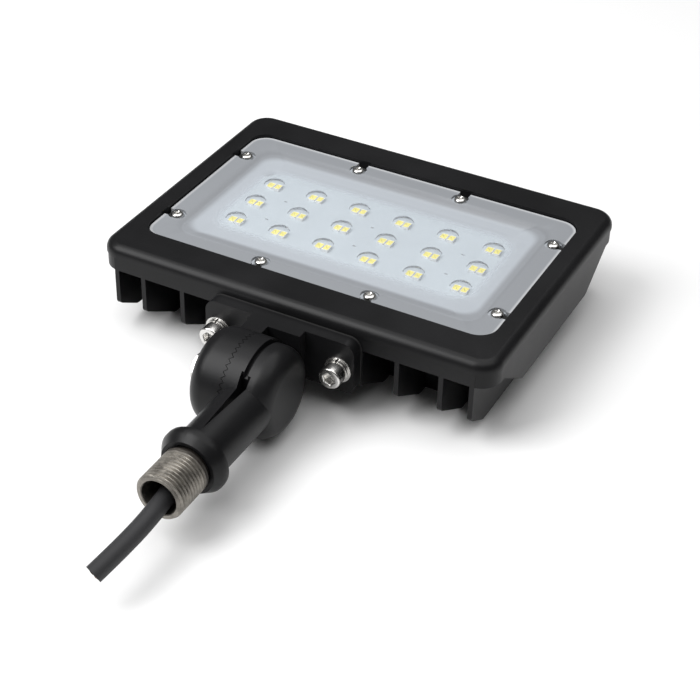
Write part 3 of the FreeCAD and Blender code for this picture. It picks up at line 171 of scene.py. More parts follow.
def rgba(colour):
    """A colour's four numbers, or the wire itself."""
    return colour if isinstance(colour, Wire) else (*colour[:3], 1)


def new_finish(name):
    """A new material and the wire of its Object coordinates."""
    finish = bpy.data.materials.new(name)
    finish.use_nodes = True
    finish.node_tree.nodes.clear()
    return finish, Wire(finish.node_tree).add("ShaderNodeTexCoord", None, None, "Object")


def powder_coat(name, colour, roughness):
    """Satin powder coat: fine orange peel, cloudy gloss, a little dust in the coat."""
    finish, at = new_finish(name)
    cloud = at.noise(28, 3)
    peel = at.noise(900, 2)
    grain = at.noise(2600, 1)
    height = peel * 0.7 + grain * 0.3
    lighter = [value * 1.6 + 0.001 for value in colour[:3]]
    at.shader(
        Base_Color=(cloud * 0.7 + grain * 0.3).fade(0.35, 0.75).mix(colour, lighter),
        Roughness=cloud * 0.12 + grain * 0.06 + (roughness - 0.09),
        Normal=height.bump(0.03 * MM, 0.5),
        Specular_IOR_Level=0.2,
    ).finish()
    return finish


def past_outline(at, length, width, corner):
    """How far a place lies outside a rounded rectangle about the middle of the face."""
    across = (abs(at.axis("X") - FACE.x) - (length / 2 - corner)).over(0)
    along = (abs(at.axis("Y") - FACE.y) - (width / 2 - corner)).over(0)
    return (across * across + along * along).root() - corner


def clear_plastic(name, settings):
    """Clear moulded cover: hazy over the LEDs, frosted on its sloped border and flange, with a painted
    highlight along its outer edge.
    """
    finish, at = new_finish(name)
    outside = past_outline(at, settings.clear_length, settings.clear_width, settings.clear_corner)
    border = outside.fade(0, settings.frost_fade)
    low_corner, high_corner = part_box("lens_cover")
    size = high_corner - low_corner
    # Painted highlight: a bright line painted round the cover's outer edge, where its rounded edge would
    # catch the light.
    rim = past_outline(at, size.x, size.y, settings.corner).fade(-settings.rim, -0.3 * settings.rim)
    ripple = at.noise(60, 2)
    clear = at.shader(
        Base_Color=(0.97, 0.985, 1.0, 1),
        Roughness=ripple * 0.03,
        IOR=settings.bend,
        Transmission_Weight=1.0,
        Normal=ripple.bump(0.02 * MM, 0.3),
    )
    frost = at.noise(1500, 2)
    low = FACE.z - settings.dish
    height = at.axis("Z") + frost * 0.1 * MM
    slope = height.fade(*(low + rise * MM for rise in SLOPE_RISES))
    flange = height.fade(*(low + rise * MM for rise in FLANGE_RISES))
    # Painted shade: the sloped border is painted 8% darker than the flange, standing in for the shade its
    # tilt takes; towards the dish's floor it turns to the lighter dish colour.
    slope_shade = slope.mix(settings.dish_colour, [value * 0.92 for value in settings.frost_colour])
    frosted = at.shader(
        # The rim colour is the painted highlight along the cover's outer edge.
        Base_Color=rim.mix(flange.mix(slope_shade, settings.frost_colour), settings.rim_highlight_colour),
        Roughness=frost * 0.1 + settings.frost_roughness,
        Normal=frost.bump(0.02 * MM, 0.4),
    )
    hidden = border * (settings.frost_cover - settings.haze) + settings.haze
    plastic = at.add("ShaderNodeMixShader", None, {0: hidden, 1: clear, 2: frosted})
    shadow = at.add("ShaderNodeLightPath", None, None, "Is Shadow Ray")
    lit = shadow.over(at.add("ShaderNodeLightPath", None, None, "Is Diffuse Ray"))
    through = at.add("ShaderNodeBsdfTransparent")
    at.add("ShaderNodeMixShader", None, {0: lit, 1: plastic, 2: through}).finish()
    return finish


def bare_metal(name, colour, roughness, scratch):
    """Bright metal with fine turned scratches and a cloudy polish."""
    finish, at = new_finish(name)
    cloud = at.noise(140, 3)
    scratches = at.stretch(scratch).noise(700, 2)
    at.shader(
        Base_Color=cloud.mix([value * 0.86 for value in colour[:3]], colour),
        Metallic=1.0,
        Roughness=cloud * 0.12 + scratches * 0.1 + (roughness - 0.1),
        Normal=scratches.bump(0.012 * MM, 0.5),
    ).finish()
    return finish


def zinc_plate(name, settings):
    """Dull zinc plate, stained brown next to the collar, rubbed bright along its top."""
    finish, at = new_finish(name)
    blotch = at.noise(260, 4, 0.6)
    speck = at.noise(1500, 2)
    rubbed = at.axis("Z").fade(8.6 * MM, 10.2 * MM) * blotch.fade(0.3, 0.55)
    stained = (at.axis("Y") + blotch * 3.0 * MM).fade(-3.0 * MM, 0.5 * MM)
    plate = blotch.fade(0.3, 0.7).mix([value * 0.6 for value in settings.zinc], settings.zinc)
    worn = rubbed.mix(plate, settings.zinc_worn)
    at.shader(
        Base_Color=stained.mix(worn, settings.zinc_stain),
        Metallic=0.9 - stained * 0.6,
        Roughness=speck * 0.12 + blotch * 0.14 + 0.32 - rubbed * 0.08,
        Normal=(blotch * 0.6 + speck * 0.4).bump(0.03 * MM, 0.6),
    ).finish()
    return finish


def moulded(name, colour, roughness, grain_size, grain_depth, spread=0.12):
    """Rubber or plastic with a moulded grain and a slight cloud in its colour."""
    finish, at = new_finish(name)
    grain = at.noise(1 / grain_size, 2)
    cloud = at.noise(45, 3)
    darker = [value * (1 - 2 * spread) for value in colour[:3]]
    at.shader(
        Base_Color=(cloud * 0.6 + grain * 0.4).fade(0.3, 0.7).mix(darker, colour),
        Roughness=grain * 0.14 + cloud * 0.08 + (roughness - 0.11),
        Normal=grain.bump(grain_depth, 0.6),
    ).finish()
    return finish


def clear_selection():
    """Object mode, with nothing selected."""
    if bpy.context.object and bpy.context.object.mode != "OBJECT":
        bpy.ops.object.mode_set(mode="OBJECT")
    bpy.ops.object.select_all(action="DESELECT")


def pick(piece):
    """Make a piece the only one selected, and active."""
    clear_selection()
    piece.select_set(True)
    bpy.context.view_layer.objects.active = piece
    return piece


@contextmanager
def editing(piece):
    """Edit mode on one piece, with all of it selected."""
    pick(piece)
    bpy.ops.object.mode_set(mode="EDIT")
    bpy.ops.mesh.select_mode(type="VERT")
    bpy.ops.mesh.select_all(action="SELECT")
    yield piece
    bpy.ops.object.mode_set(mode="OBJECT")


def choose(piece, kind, test):
    """Select the verts, edges or faces, in edit mode, that pass a test."""
    bpy.ops.mesh.select_mode(type={"verts": "VERT", "edges": "EDGE", "faces": "FACE"}[kind])
    bpy.ops.mesh.select_all(action="DESELECT")
    mesh = bmesh.from_edit_mesh(piece.data)
    for item in getattr(mesh, kind):
        item.select_set(test(item))
    mesh.select_flush_mode()
    bmesh.update_edit_mesh(piece.data)


def close_up():
    """Merge doubles in edit mode, then point the faces outwards."""
    bpy.ops.mesh.select_all(action="SELECT")
    bpy.ops.mesh.remove_doubles(threshold=WELD)
    bpy.ops.mesh.normals_make_consistent(inside=False)


def block(name, middle, size):
    """A box of a size round a middle, with its place in its mesh, as a start."""
    clear_selection()
    bpy.ops.mesh.primitive_cube_add(size=1, location=middle)
    piece = bpy.context.object
    piece.name = name
    piece.scale = size
    bpy.ops.object.transform_apply(location=True, rotation=True, scale=True)
    return piece


def drawn(name, points):
    """A line through points: a plane merged to one vertex, then extruded from point to point."""
    clear_selection()
    bpy.ops.mesh.primitive_plane_add(size=MM, location=points[0])
    piece = bpy.context.object
    piece.name = name
    bpy.ops.object.transform_apply(location=True, rotation=True, scale=True)
    with editing(piece):
        bpy.ops.mesh.merge(type="CENTER")
        for start, end in zip(points, points[1:]):
            bpy.ops.mesh.extrude_vertices_move(TRANSFORM_OT_translate={"value": end - start})
    return piece


def spun(name, base, axis, profile, steps=48):
    """Spin a profile of (along, radius) points about an axis through the base."""
    side = axis.orthogonal().normalized()
    piece = drawn(name, [base + axis * along + side * radius for along, radius in profile])
    with editing(piece):
        bpy.ops.mesh.spin(steps=steps, angle=2 * math.pi, center=base, axis=axis)
        close_up()
    return piece


def carve(piece, tool, operation="DIFFERENCE"):
    """Cut a piece with a tool, join the two or keep what they share; the tool goes."""
    pick(piece)
    cut = piece.modifiers.new("carve", "BOOLEAN")
    cut.operation = operation
    cut.object = tool
    cut.solver = "EXACT"
    bpy.ops.object.modifier_apply(modifier=cut.name)
    bpy.data.objects.remove(tool)
    return piece


def smooth(piece, corner=35):
    pick(piece)
    bpy.ops.object.shade_smooth_by_angle(angle=math.radians(corner))


def soften(piece, width, segments=2, corner=40, crease=35):
    """Round the piece's sharp edges over a little, and shade it smooth up to a crease."""
    pick(piece)
    rounding = piece.modifiers.new("rounding", "BEVEL")
    rounding.width = width
    rounding.segments = segments
    rounding.limit_method = "ANGLE"
    rounding.angle_limit = math.radians(corner)
    bpy.ops.object.modifier_apply(modifier=rounding.name)
    smooth(piece, crease)
    flats = piece.modifiers.new("flats", "WEIGHTED_NORMAL")
    flats.keep_sharp = True
    bpy.ops.object.modifier_apply(modifier=flats.name)
    return piece


def cast_copy(node, name, whole=True):
    """A fresh piece on a merged copy of a CAD node's mesh, with its flats made whole."""
    piece = bpy.data.objects.new(name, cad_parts[node].data.copy())
    bpy.context.scene.collection.objects.link(piece)
    piece.data.materials.clear()
    with editing(piece):
        bpy.ops.mesh.customdata_custom_splitnormals_clear()
        bpy.ops.mesh.remove_doubles(threshold=WELD)
        if whole:
            bpy.ops.mesh.dissolve_limited(angle_limit=math.radians(0.3))
    return piece


def paint(piece, finish):
    piece.data.materials.append(finish)
    return piece


def merged(pieces, name):
    """Join several pieces to one."""
    clear_selection()
    for piece in pieces:
        piece.select_set(True)
    bpy.context.view_layer.objects.active = pieces[0]
    bpy.ops.object.join()
    pieces[0].name = name
    return pieces[0]


def repeated(piece, moves):
    """Copy a piece by each move, each copy with its own mesh, and join the copies to one piece."""
    name = piece.name
    twins = []
    for move in moves:
        twin = bpy.data.objects.new(name, piece.data.copy())
        twin.location = move
        bpy.context.scene.collection.objects.link(twin)
        twins.append(twin)
    bpy.data.objects.remove(piece)
    return merged(twins, name)


def hand_over(piece, body, slot, *nodes):
    """Put a piece's place in its mesh, hang it on its body and hide the nodes it stands for; its slot is not
    used.
    """
    pick(piece)
    bpy.ops.object.transform_apply(location=True, rotation=True, scale=True)
    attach(piece, body)
    if nodes:
        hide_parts(*nodes)
    return piece


def pair_moves(leds):
    """Moves from the middle of the face to each pair of LEDs."""
    return [
        Vector((
            (column - (leds.columns - 1) / 2) * leds.pitch_x,
            (row - (leds.rows - 1) / 2) * leds.pitch_y,
            0,
        ))
        for column in range(leds.columns)
        for row in range(leds.rows)
    ]


def length(name, description, millimetres):
    return FloatProperty(name=name, description=description, default=millimetres * MM, subtype="DISTANCE")


def share(name, description, default):
    return FloatProperty(name=name, description=description, default=default, min=0, max=1, subtype="FACTOR")


def colour(name, description, default):
    return FloatVectorProperty(name=name, description=description, default=default, size=3, subtype="COLOR")


class FloodLightStage(bpy.types.PropertyGroup):
    """Camera, floor and lamps."""

    camera_place: FloatVectorProperty(
        name="Camera place",
        description="Where the camera stands",
        default=(0.28039141, -0.41462532, 0.42079923),
        subtype="TRANSLATION",
    )
    camera_turn: FloatVectorProperty(
        name="Camera turn",
        description="How the camera is turned",
        default=(0.94119559, -0.02357668, 0.48760606),
        subtype="EULER",
    )
    camera_lens: FloatProperty(name="Lens", description="Focal length", default=85.73585)
    floor_size: length("Floor", "Side of the floor", 8000)
    floor_colour: colour("Floor colour", "Colour of the floor", (0.86, 0.86, 0.86))
    sky: FloatProperty(name="Sky", description="Strength of the light all round", default=0.1)
    key_power: FloatProperty(name="Key", description="Power of the front lamp", default=12, unit="POWER")
    top_power: FloatProperty(name="Top", description="Power of the lamp overhead", default=34, unit="POWER")


class FloodLightCoat(bpy.types.PropertyGroup):
    """The black castings."""

    black: colour("Black", "Colour of the powder coat", (0.0055, 0.0055, 0.006))
    roughness: share("Roughness", "Roughness of the powder coat", 0.37)
    edge: length("Edge", "Rounding of the castings' edges", 0.45)
    fin_corner: length("Fin corner", "Rounding of the fins' lower corners", 1.4)


class FloodLightCover(bpy.types.PropertyGroup):
    """The clear cover."""

    clear_length: length("Clear length", "Length of the polished middle", 124)
    clear_width: length("Clear width", "Width of the polished middle", 50)
    clear_corner: length("Clear corner", "Corner radius of the polished middle", 8)
    dish: length("Dish", "Depth of the dished middle below the face", 3.2)
    corner: length("Corner", "Corner radius of the cover", 8.5)
    # The bright line along the cover's edge is a painted highlight.
    rim: length("Rim", "Width of the bright line along the cover's edge", 1.8)
    rim_highlight_colour: colour("Rim colour", "Colour of the line along the cover's edge", (0.5, 0.51, 0.525))
    bend: FloatProperty(name="Bend", description="How much the clear plastic bends light", default=1.14)
    haze: share("Haze", "How much the haze over the LEDs hides", 0.2)
    frost_fade: length("Frost fade", "Width over which the frosting starts", 8)
    frost_cover: share("Frost cover", "How much the frosting hides", 0.9)
    frost_colour: colour("Frost colour", "Colour of the frosted border", (0.28, 0.293, 0.312))
    dish_colour: colour("Dish colour", "Colour of the frosted edge of the dish's floor", (0.4, 0.428, 0.462))
    frost_roughness: share("Frost roughness", "Roughness of the frosted border", 0.2)
    edge: length("Edge", "Rounding of the cover's edges", 0.4)


class FloodLightLeds(bpy.types.PropertyGroup):
    """The board and its LEDs."""

    columns: IntProperty(name="Columns", description="LED pairs in a row", default=6)
    rows: IntProperty(name="Rows", description="Rows of LED pairs", default=3)
    pitch_x: length("Pitch along", "LED pairs along the board", 22.86)
    pitch_y: length("Pitch across", "LED pairs across the board", 17.7)
    spacing: length("Spacing", "The two LEDs of a pair, middle to middle", 4.0)
    chip_length: length("LED length", "Length of an LED", 5)
    chip_width: length("LED width", "Width of an LED", 3.5)
    rise: length("Rise", "Height of an LED on its board", 1.35)
    lip: length("Lip", "Width of an LED's white rim", 0.25)
    phosphor: colour("Phosphor", "Colour of the phosphor", (0.95, 0.83, 0.12))
    package: colour("Package", "Colour of an LED's body", (0.85, 0.85, 0.82))
    board: colour("Board", "Colour of the board", (0.505, 0.553, 0.585))


class FloodLightMetal(bpy.types.PropertyGroup):
    """Fasteners, the nipple and its thread."""

    steel: colour("Steel", "Colour of the fasteners", (0.72, 0.71, 0.69))
    roughness: share("Roughness", "Roughness of the fasteners", 0.24)
    zinc: colour("Zinc", "Colour of the nipple", (0.30, 0.28, 0.25))
    zinc_worn: colour("Worn zinc", "Colour of the rubbed top", (0.46, 0.43, 0.385))
    zinc_stain: colour("Stain", "Colour next to the collar", (0.03, 0.025, 0.021))
    thread_pitch: length("Pitch", "Pitch of the pipe thread", 1.814)
    thread_depth: length("Depth", "Depth of the pipe thread", 0.85)


class FloodLightCord(bpy.types.PropertyGroup):
    """The cord."""

    jacket: colour("Jacket", "Colour of the cord's jacket", (0.023, 0.023, 0.025))
    diameter: length("Diameter", "Diameter of the cord", 7.8)
    core: length("Core", "Diameter of one insulated core", 2.2)


GROUPS = {
    "flood_light_stage": FloodLightStage,
    "flood_light_coat": FloodLightCoat,
    "flood_light_cover": FloodLightCover,
    "flood_light_leds": FloodLightLeds,
    "flood_light_metal": FloodLightMetal,
    "flood_light_cord": FloodLightCord,
}


class Dressing(bpy.types.Operator):
    """Shared by the operators: undo, and the finish that several pieces wear."""

    bl_options = {"REGISTER", "UNDO"}

    @staticmethod
    def worn(name, make, *facts):
        return bpy.data.materials.get(name) or make(name, *facts)

    def coat(self, context):
        coat = context.scene.flood_light_coat
        return self.worn("black_powder_coat", powder_coat, tuple(coat.black), coat.roughness)

    def steel(self, context):
        metal = context.scene.flood_light_metal
        return self.worn("bright_steel", bare_metal, tuple(metal.steel), metal.roughness, (1, 1, 6))


class FLOODLIGHT_OT_stage(Dressing):
    """Set the camera at the photograph's angle, the pale floor and the soft lamps"""

    bl_idname = "flood_light.stage"
    bl_label = "Stage"

    KEY_PLACE, KEY_SIZE = Vector((-0.52, -0.4, 0.83)), (0.7, 0.8)
    TOP_PLACE, TOP_SIZE = Vector((0.1, 0.3, 1.7)), (2.6, 2.2)

    def execute(self, context):
        stage = context.scene.flood_light_stage
        clear_selection()
        bpy.ops.object.camera_add(location=stage.camera_place, rotation=stage.camera_turn)
        camera = context.object
        camera.data.lens = stage.camera_lens
        camera.data.clip_start = 0.01
        context.scene.camera = camera
        context.scene.view_settings.view_transform = "Standard"

        clear_selection()
        bpy.ops.mesh.primitive_plane_add(size=stage.floor_size, location=(0, 0, CAD_BOX[0].z))
        floor = context.object
        floor.name = "floor"
        finish, at = new_finish("floor_paper")
        at.shader(Base_Color=rgba(stage.floor_colour), Roughness=0.9, Specular_IOR_Level=0.1).finish()
        paint(floor, finish)

        self.lamp("key_softbox", self.KEY_PLACE, self.KEY_SIZE, stage.key_power)
        self.lamp("top_softbox", self.TOP_PLACE, self.TOP_SIZE, stage.top_power)

        world = bpy.data.worlds.new("studio")
        world.use_nodes = True
        world.node_tree.nodes["Background"].inputs["Color"].default_value = (1, 1, 1, 1)
        world.node_tree.nodes["Background"].inputs["Strength"].default_value = stage.sky
        context.scene.world = world
        return {"FINISHED"}

    @staticmethod
    def lamp(name, place, size, power):
        """A soft rectangular lamp aimed at the middle of the head."""
        aim = (FACE - place).to_track_quat("-Z", "Y").to_euler()
        clear_selection()
        bpy.ops.object.light_add(type="AREA", location=place, rotation=aim)
        lamp = bpy.context.object
        lamp.name = name
        lamp.data.shape = "RECTANGLE"
        lamp.data.size, lamp.data.size_y = size
        lamp.data.energy = power


class FLOODLIGHT_OT_cord(Dressing):
    """Run the cord out of the nipple and snip its end on the slant, with its cores in the cut"""

    bl_idname = "flood_light.cord"
    bl_label = "Cord"

    ROUTE = [
        (0.0, 0.0120, 0.0),
        (0.0, -0.0030, 0.0),
        (0.0004, -0.0200, -0.0034),
        (0.0005, -0.0420, -0.0048),
        (-0.0008, -0.0680, -0.0046),
    ]
    CUT = Vector((-0.0006, -0.0630, -0.0046))
    CUT_SLANT = Vector((-0.361, -0.822, -0.440))
    LENGTH = 0.0753
    CORES = [
        ("core_black", (0.02, 0.02, 0.02)),
        ("core_white", (0.6, 0.59, 0.56)),
        ("core_green", (0.02, 0.16, 0.05)),
    ]
    CORE_PLACE = 0.64
    CORE_PROUD, COPPER_PROUD = 0.12 * MM, 0.24 * MM

    def execute(self, context):
        cord = context.scene.flood_light_cord
        line = bpy.data.curves.new("cord_route", "CURVE")
        line.dimensions = "3D"
        spline = line.splines.new("NURBS")
        spline.points.add(len(self.ROUTE) - 1)
        for point, place in zip(spline.points, self.ROUTE):
            point.co = (*place, 1)
        spline.order_u = 3
        spline.use_endpoint_u = True
        spline.resolution_u = 16
        route = bpy.data.objects.new("cord_route", line)
        middle = bpy.data.meshes.new_from_object(route)
        line.bevel_depth = cord.diameter / 2
        line.bevel_resolution = 10
        line.use_fill_caps = True
        tube = bpy.data.objects.new("supply_cord", bpy.data.meshes.new_from_object(route))
        context.scene.collection.objects.link(tube)
        bpy.data.objects.remove(route)
        with editing(tube):
            close_up()
        self.snip(tube, 0)
        smooth(tube)
        paint(tube, moulded("cord_jacket_rubber", tuple(cord.jacket), 0.62, 0.5 * MM, 0.03 * MM))
        hand_over(tube, "arm", "cord_jacket", "cord")
        self.cut_cores(cord)
        return {"FINISHED"}

    def before_cut(self, place):
        return (place - self.CUT).dot(self.CUT_SLANT) < 0

    def snip(self, piece, proud):
        """Cut a piece off along the slant, a little past the jacket's own cut, and close it."""
        with editing(piece):
            place = self.CUT + self.CUT_SLANT * proud
            bpy.ops.mesh.bisect(plane_co=place, plane_no=self.CUT_SLANT, use_fill=True, clear_outer=True)

    def cut_cores(self, cord):
        """Three insulated cores with their copper, each cut a little proud of the last."""
        run = (self.CUT - Vector(self.ROUTE[-2])).normalized()
        side = run.cross(UP).normalized()
        rise = side.cross(run)
        copper = bare_metal("cut_copper", (0.72, 0.36, 0.2), 0.35, (1, 1, 1))
        rods = []
        for turn, (name, tint) in enumerate(self.CORES):
            angle = math.radians(90 + 120 * turn)
            reach = cord.core * self.CORE_PLACE
            middle = self.CUT + (side * math.cos(angle) + rise * math.sin(angle)) * reach
            insulation = moulded(name, tint, 0.5, 0.4 * MM, 0.01 * MM)
            rods.append(paint(self.rod(middle, run, cord.core / 2, self.CORE_PROUD), insulation))
            rods.append(paint(self.rod(middle, run, cord.core / 4, self.COPPER_PROUD), copper))
        cores = merged(rods, "cord_cut_cores")
        smooth(cores)
        return hand_over(cores, "arm", "wire_plastic")

    def rod(self, middle, run, radius, proud):
        """A short round rod along the cord, cut on the slant."""
        reach = 4 * MM
        rod = spun("rod", middle, run, [(-reach, 0), (-reach, radius), (reach, radius), (reach, 0)], 24)
        self.snip(rod, proud)
        return rod


class FLOODLIGHT_OT_housing(Dressing):
    """Round the edges of the finned housing and of its back cover"""

    bl_idname = "flood_light.housing"
    bl_label = "Housing"

    # Lower corners of the fins and end walls, along Y and Z in millimetres
    FIN_FRONT, FIN_SLOPE_END, FIFTH_FIN_SLOPE_END = (93.6, -10.3), (116.4, -24.1), (106.6, -18.2)
    END_WALL_FRONT, END_WALL_BACK = (127.7, -7.3), (201.7, -7.3)
    CORNERS = [FIN_FRONT, FIN_SLOPE_END, FIFTH_FIN_SLOPE_END, END_WALL_FRONT, END_WALL_BACK]
    NEAR = 0.3 * MM

    def execute(self, context):
        coat = context.scene.flood_light_coat
        housing = cast_copy("housing", "housing_casting")
        with editing(housing):
            choose(housing, "edges", self.is_fin_corner)
            bpy.ops.mesh.bevel(offset=coat.fin_corner, segments=4, affect="EDGES", clamp_overlap=True)
        soften(housing, coat.edge)
        hand_over(paint(housing, self.coat(context)), "head", "black_coat", "housing")
        lid = soften(cast_copy("back_cover", "back_lid"), coat.edge)
        hand_over(paint(lid, self.coat(context)), "head", "black_coat", "back_cover")
        return {"FINISHED"}

    def is_fin_corner(self, edge):
        """An edge along X at a lower corner of a fin or of an end wall."""
        first, second = (vert.co for vert in edge.verts)
        if abs(first.y - second.y) > self.NEAR or abs(first.z - second.z) > self.NEAR:
            return False
        return any(
            abs(first.y - y * MM) < self.NEAR and abs(first.z - z * MM) < self.NEAR for y, z in self.CORNERS
        )


class FLOODLIGHT_OT_cover(Dressing):
    """Make the clear cover, hollow under its domes, polished in the middle and frosted round it"""

    bl_idname = "flood_light.cover"
    bl_label = "Clear cover"

    DOME, DOME_RISE, DOME_WALL = 4.5 * MM, 1.4 * MM, 0.7 * MM

    def execute(self, context):
        cover = context.scene.flood_light_cover
        lens = cast_copy("lens_cover", "lens_clear", False)
        carve(lens, repeated(self.hollow(cover.dish), pair_moves(context.scene.flood_light_leds)))
        soften(lens, cover.edge, crease=20)
        paint(lens, clear_plastic("clear_cover_plastic", cover))
        hand_over(lens, "head", "clear_cover", "lens_cover")
        return {"FINISHED"}

    def hollow(self, dish):
        """The space under one dome: a ball inside the dome's own ball, cut off below the cover."""
        outside = (self.DOME ** 2 + self.DOME_RISE ** 2) / (2 * self.DOME_RISE)
        inside = outside - self.DOME_WALL
        middle = FACE.z - dish + self.DOME_RISE - outside
        low = math.asin((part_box("lens_cover")[0].z - 0.5 * MM - middle) / inside)
        turns = [low + (math.pi / 2 - low) * step / 10 for step in range(11)]
        profile = [(inside * math.sin(low), 0)]
        profile += [(inside * math.sin(turn), inside * math.cos(turn)) for turn in turns]
        return spun("hollow", Vector((FACE.x, FACE.y, middle)), UP, profile, 40)


class FLOODLIGHT_OT_leds(Dressing):
    """Make the LEDs in their pairs, and the tinned marks on the board"""

    bl_idname = "flood_light.leds"
    bl_label = "LEDs"

    MARKS = [(-46, 9), (-46, -9), (0, 9), (0, -9), (46, 9), (46, -9)]

    def execute(self, context):
        leds = context.scene.flood_light_leds
        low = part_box("led_chips")[0]
        size = (leds.chip_width, leds.chip_length, leds.rise)
        chip = block("led_bodies", (FACE.x, FACE.y, low.z + leds.rise / 2), size)
        paint(chip, moulded("led_package", tuple(leds.package), 0.35, 0.3 * MM, 0.01 * MM, 0.04))
        paint(chip, moulded("led_phosphor", tuple(leds.phosphor), 0.4, 0.2 * MM, 0.03 * MM, 0.06))
        with editing(chip):
            choose(chip, "edges", lambda edge: abs(edge.verts[0].co.z - edge.verts[1].co.z) > 0.1 * MM)
            bpy.ops.mesh.bevel(offset=0.3 * MM, segments=2, affect="EDGES")
            choose(chip, "faces", lambda face: face.normal.z > 0.9)
            bpy.ops.mesh.inset(thickness=leds.lip)
            bpy.ops.mesh.extrude_region_move(TRANSFORM_OT_translate={"value": (0, 0, -0.12 * MM)})
            bpy.ops.mesh.inset(thickness=0.4 * MM)
            bpy.ops.transform.translate(value=(0, 0, 0.1 * MM))
        for face in chip.data.polygons:
            inside = max(
                abs(face.center.x - FACE.x) - leds.chip_width / 2,
                abs(face.center.y - FACE.y) - leds.chip_length / 2,
            )
            face.material_index = int(inside < 0.02 * MM - leds.lip and face.normal.z > 0.3)
        soften(chip, 0.05 * MM, 1)
        half = Vector((leds.spacing / 2, 0, 0))
        moves = [pair + side * half for pair in pair_moves(leds) for side in (-1, 1)]
        hand_over(repeated(chip, moves), "head", "yellow_led", "led_chips")

        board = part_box("led_board")[1].z
        mark = block("board_marks", (FACE.x, FACE.y, board + 0.06 * MM), (1.7 * MM, 0.6 * MM, 0.12 * MM))
        with editing(mark):
            choose(mark, "edges", lambda edge: abs(edge.verts[0].co.z - edge.verts[1].co.z) > 0.05 * MM)
            bpy.ops.mesh.bevel(offset=0.25 * MM, segments=3, affect="EDGES")
        smooth(mark)
        paint(mark, self.steel(context))
        marks = repeated(mark, [Vector((x, y, 0)) * MM for x, y in self.MARKS])
        hand_over(marks, "head", "steel")
        return {"FINISHED"}


class FLOODLIGHT_OT_screws(Dressing):
    """Make the cross-recess screws of the clear cover, the board and the back cover"""

    bl_idname = "flood_light.screws"
    bl_label = "Screws"

    HEAD, HEAD_HEIGHT, LOW_HEAD_HEIGHT = 2.9 * MM, 2.0 * MM, 1.2 * MM
    SHANK = 1.5 * MM
    # Places from the middle of the face, in millimetres
    COVER = [(-80.5, -31.3), (-80.5, 31.3), (80.5, -31.3), (80.5, 31.3),
             (-27.1, -46.4), (-27.1, 46.4), (27.1, -46.4), (27.1, 46.4)]
    BOARD = [(-66.8, -28), (-66.8, 28), (66.8, -28), (66.8, 28)]
    BACK = [(x, y) for x in (-74, 10, 74) for y in (-36.5, 39)]

    def execute(self, context):
        self.place(context, "cover_screw_heads", "cover_screws", self.HEAD_HEIGHT, UP, self.COVER)
        self.place(context, "board_screw_heads", "board_screws", self.LOW_HEAD_HEIGHT, UP, self.BOARD)
        self.place(context, "back_screw_heads", "back_screws", self.HEAD_HEIGHT, DOWN, self.BACK)
        return {"FINISHED"}

    def place(self, context, name, node, height, out, spots):
        """One screw with its cross recess, copied to each spot."""
        low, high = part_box(node)
        top = high.z if out == UP else low.z
        seat = Vector((FACE.x, FACE.y, top)) - out * height
        grip = (high.z - low.z) - height
        screw = self.pan_head(name, seat, out, height, grip)
        paint(screw, self.steel(context))
        moves = [Vector((x, y, 0)) * MM for x, y in spots]
        hand_over(repeated(screw, moves), "head", "steel", node)

    def pan_head(self, name, seat, out, height, grip):
        """A pan head on its shank, with a tapered cross recess."""
        head = self.HEAD
        profile = [
            (-grip, 0),
            (-grip, self.SHANK * 0.6),
            (-grip + 0.6 * MM, self.SHANK),
            (0, self.SHANK),
            (0, head * 0.97),
            (height * 0.06, head),
            (height * 0.42, head),
            (height * 0.66, head * 0.955),
            (height * 0.84, head * 0.86),
            (height * 0.95, head * 0.7),
            (height, head * 0.5),
            (height, 0),
        ]
        screw = spun(name, seat, out, profile, 40)
        depth = height * 0.62
        middle = seat + out * (height - depth / 2 + 0.05 * MM)
        for width, thickness in ((head * 1.08, head * 0.24), (head * 0.24, head * 1.08)):
            blade = block("recess", middle, (width, thickness, depth + 0.1 * MM))
            with editing(blade):
                choose(blade, "faces", lambda face: face.normal.dot(out) < -0.9)
                squeeze = (0.35 if width > thickness else 0.7, 0.7 if width > thickness else 0.35, 1)
                bpy.ops.transform.resize(value=squeeze, center_override=middle)
            carve(screw, blade)
        return soften(screw, 0.07 * MM, 2)


class FLOODLIGHT_OT_knuckle(Dressing):
    """Round the edges of the knuckle's two castings"""

    bl_idname = "flood_light.knuckle"
    bl_label = "Knuckle"

    def execute(self, context):
        edge = context.scene.flood_light_coat.edge
        bracket = soften(cast_copy("knuckle_bracket", "bracket_casting"), edge)
        hand_over(paint(bracket, self.coat(context)), "head", "black_coat", "knuckle_bracket")
        arm = soften(cast_copy("knuckle_arm", "arm_casting"), edge)
        hand_over(paint(arm, self.coat(context)), "arm", "black_coat", "knuckle_arm")
        return {"FINISHED"}


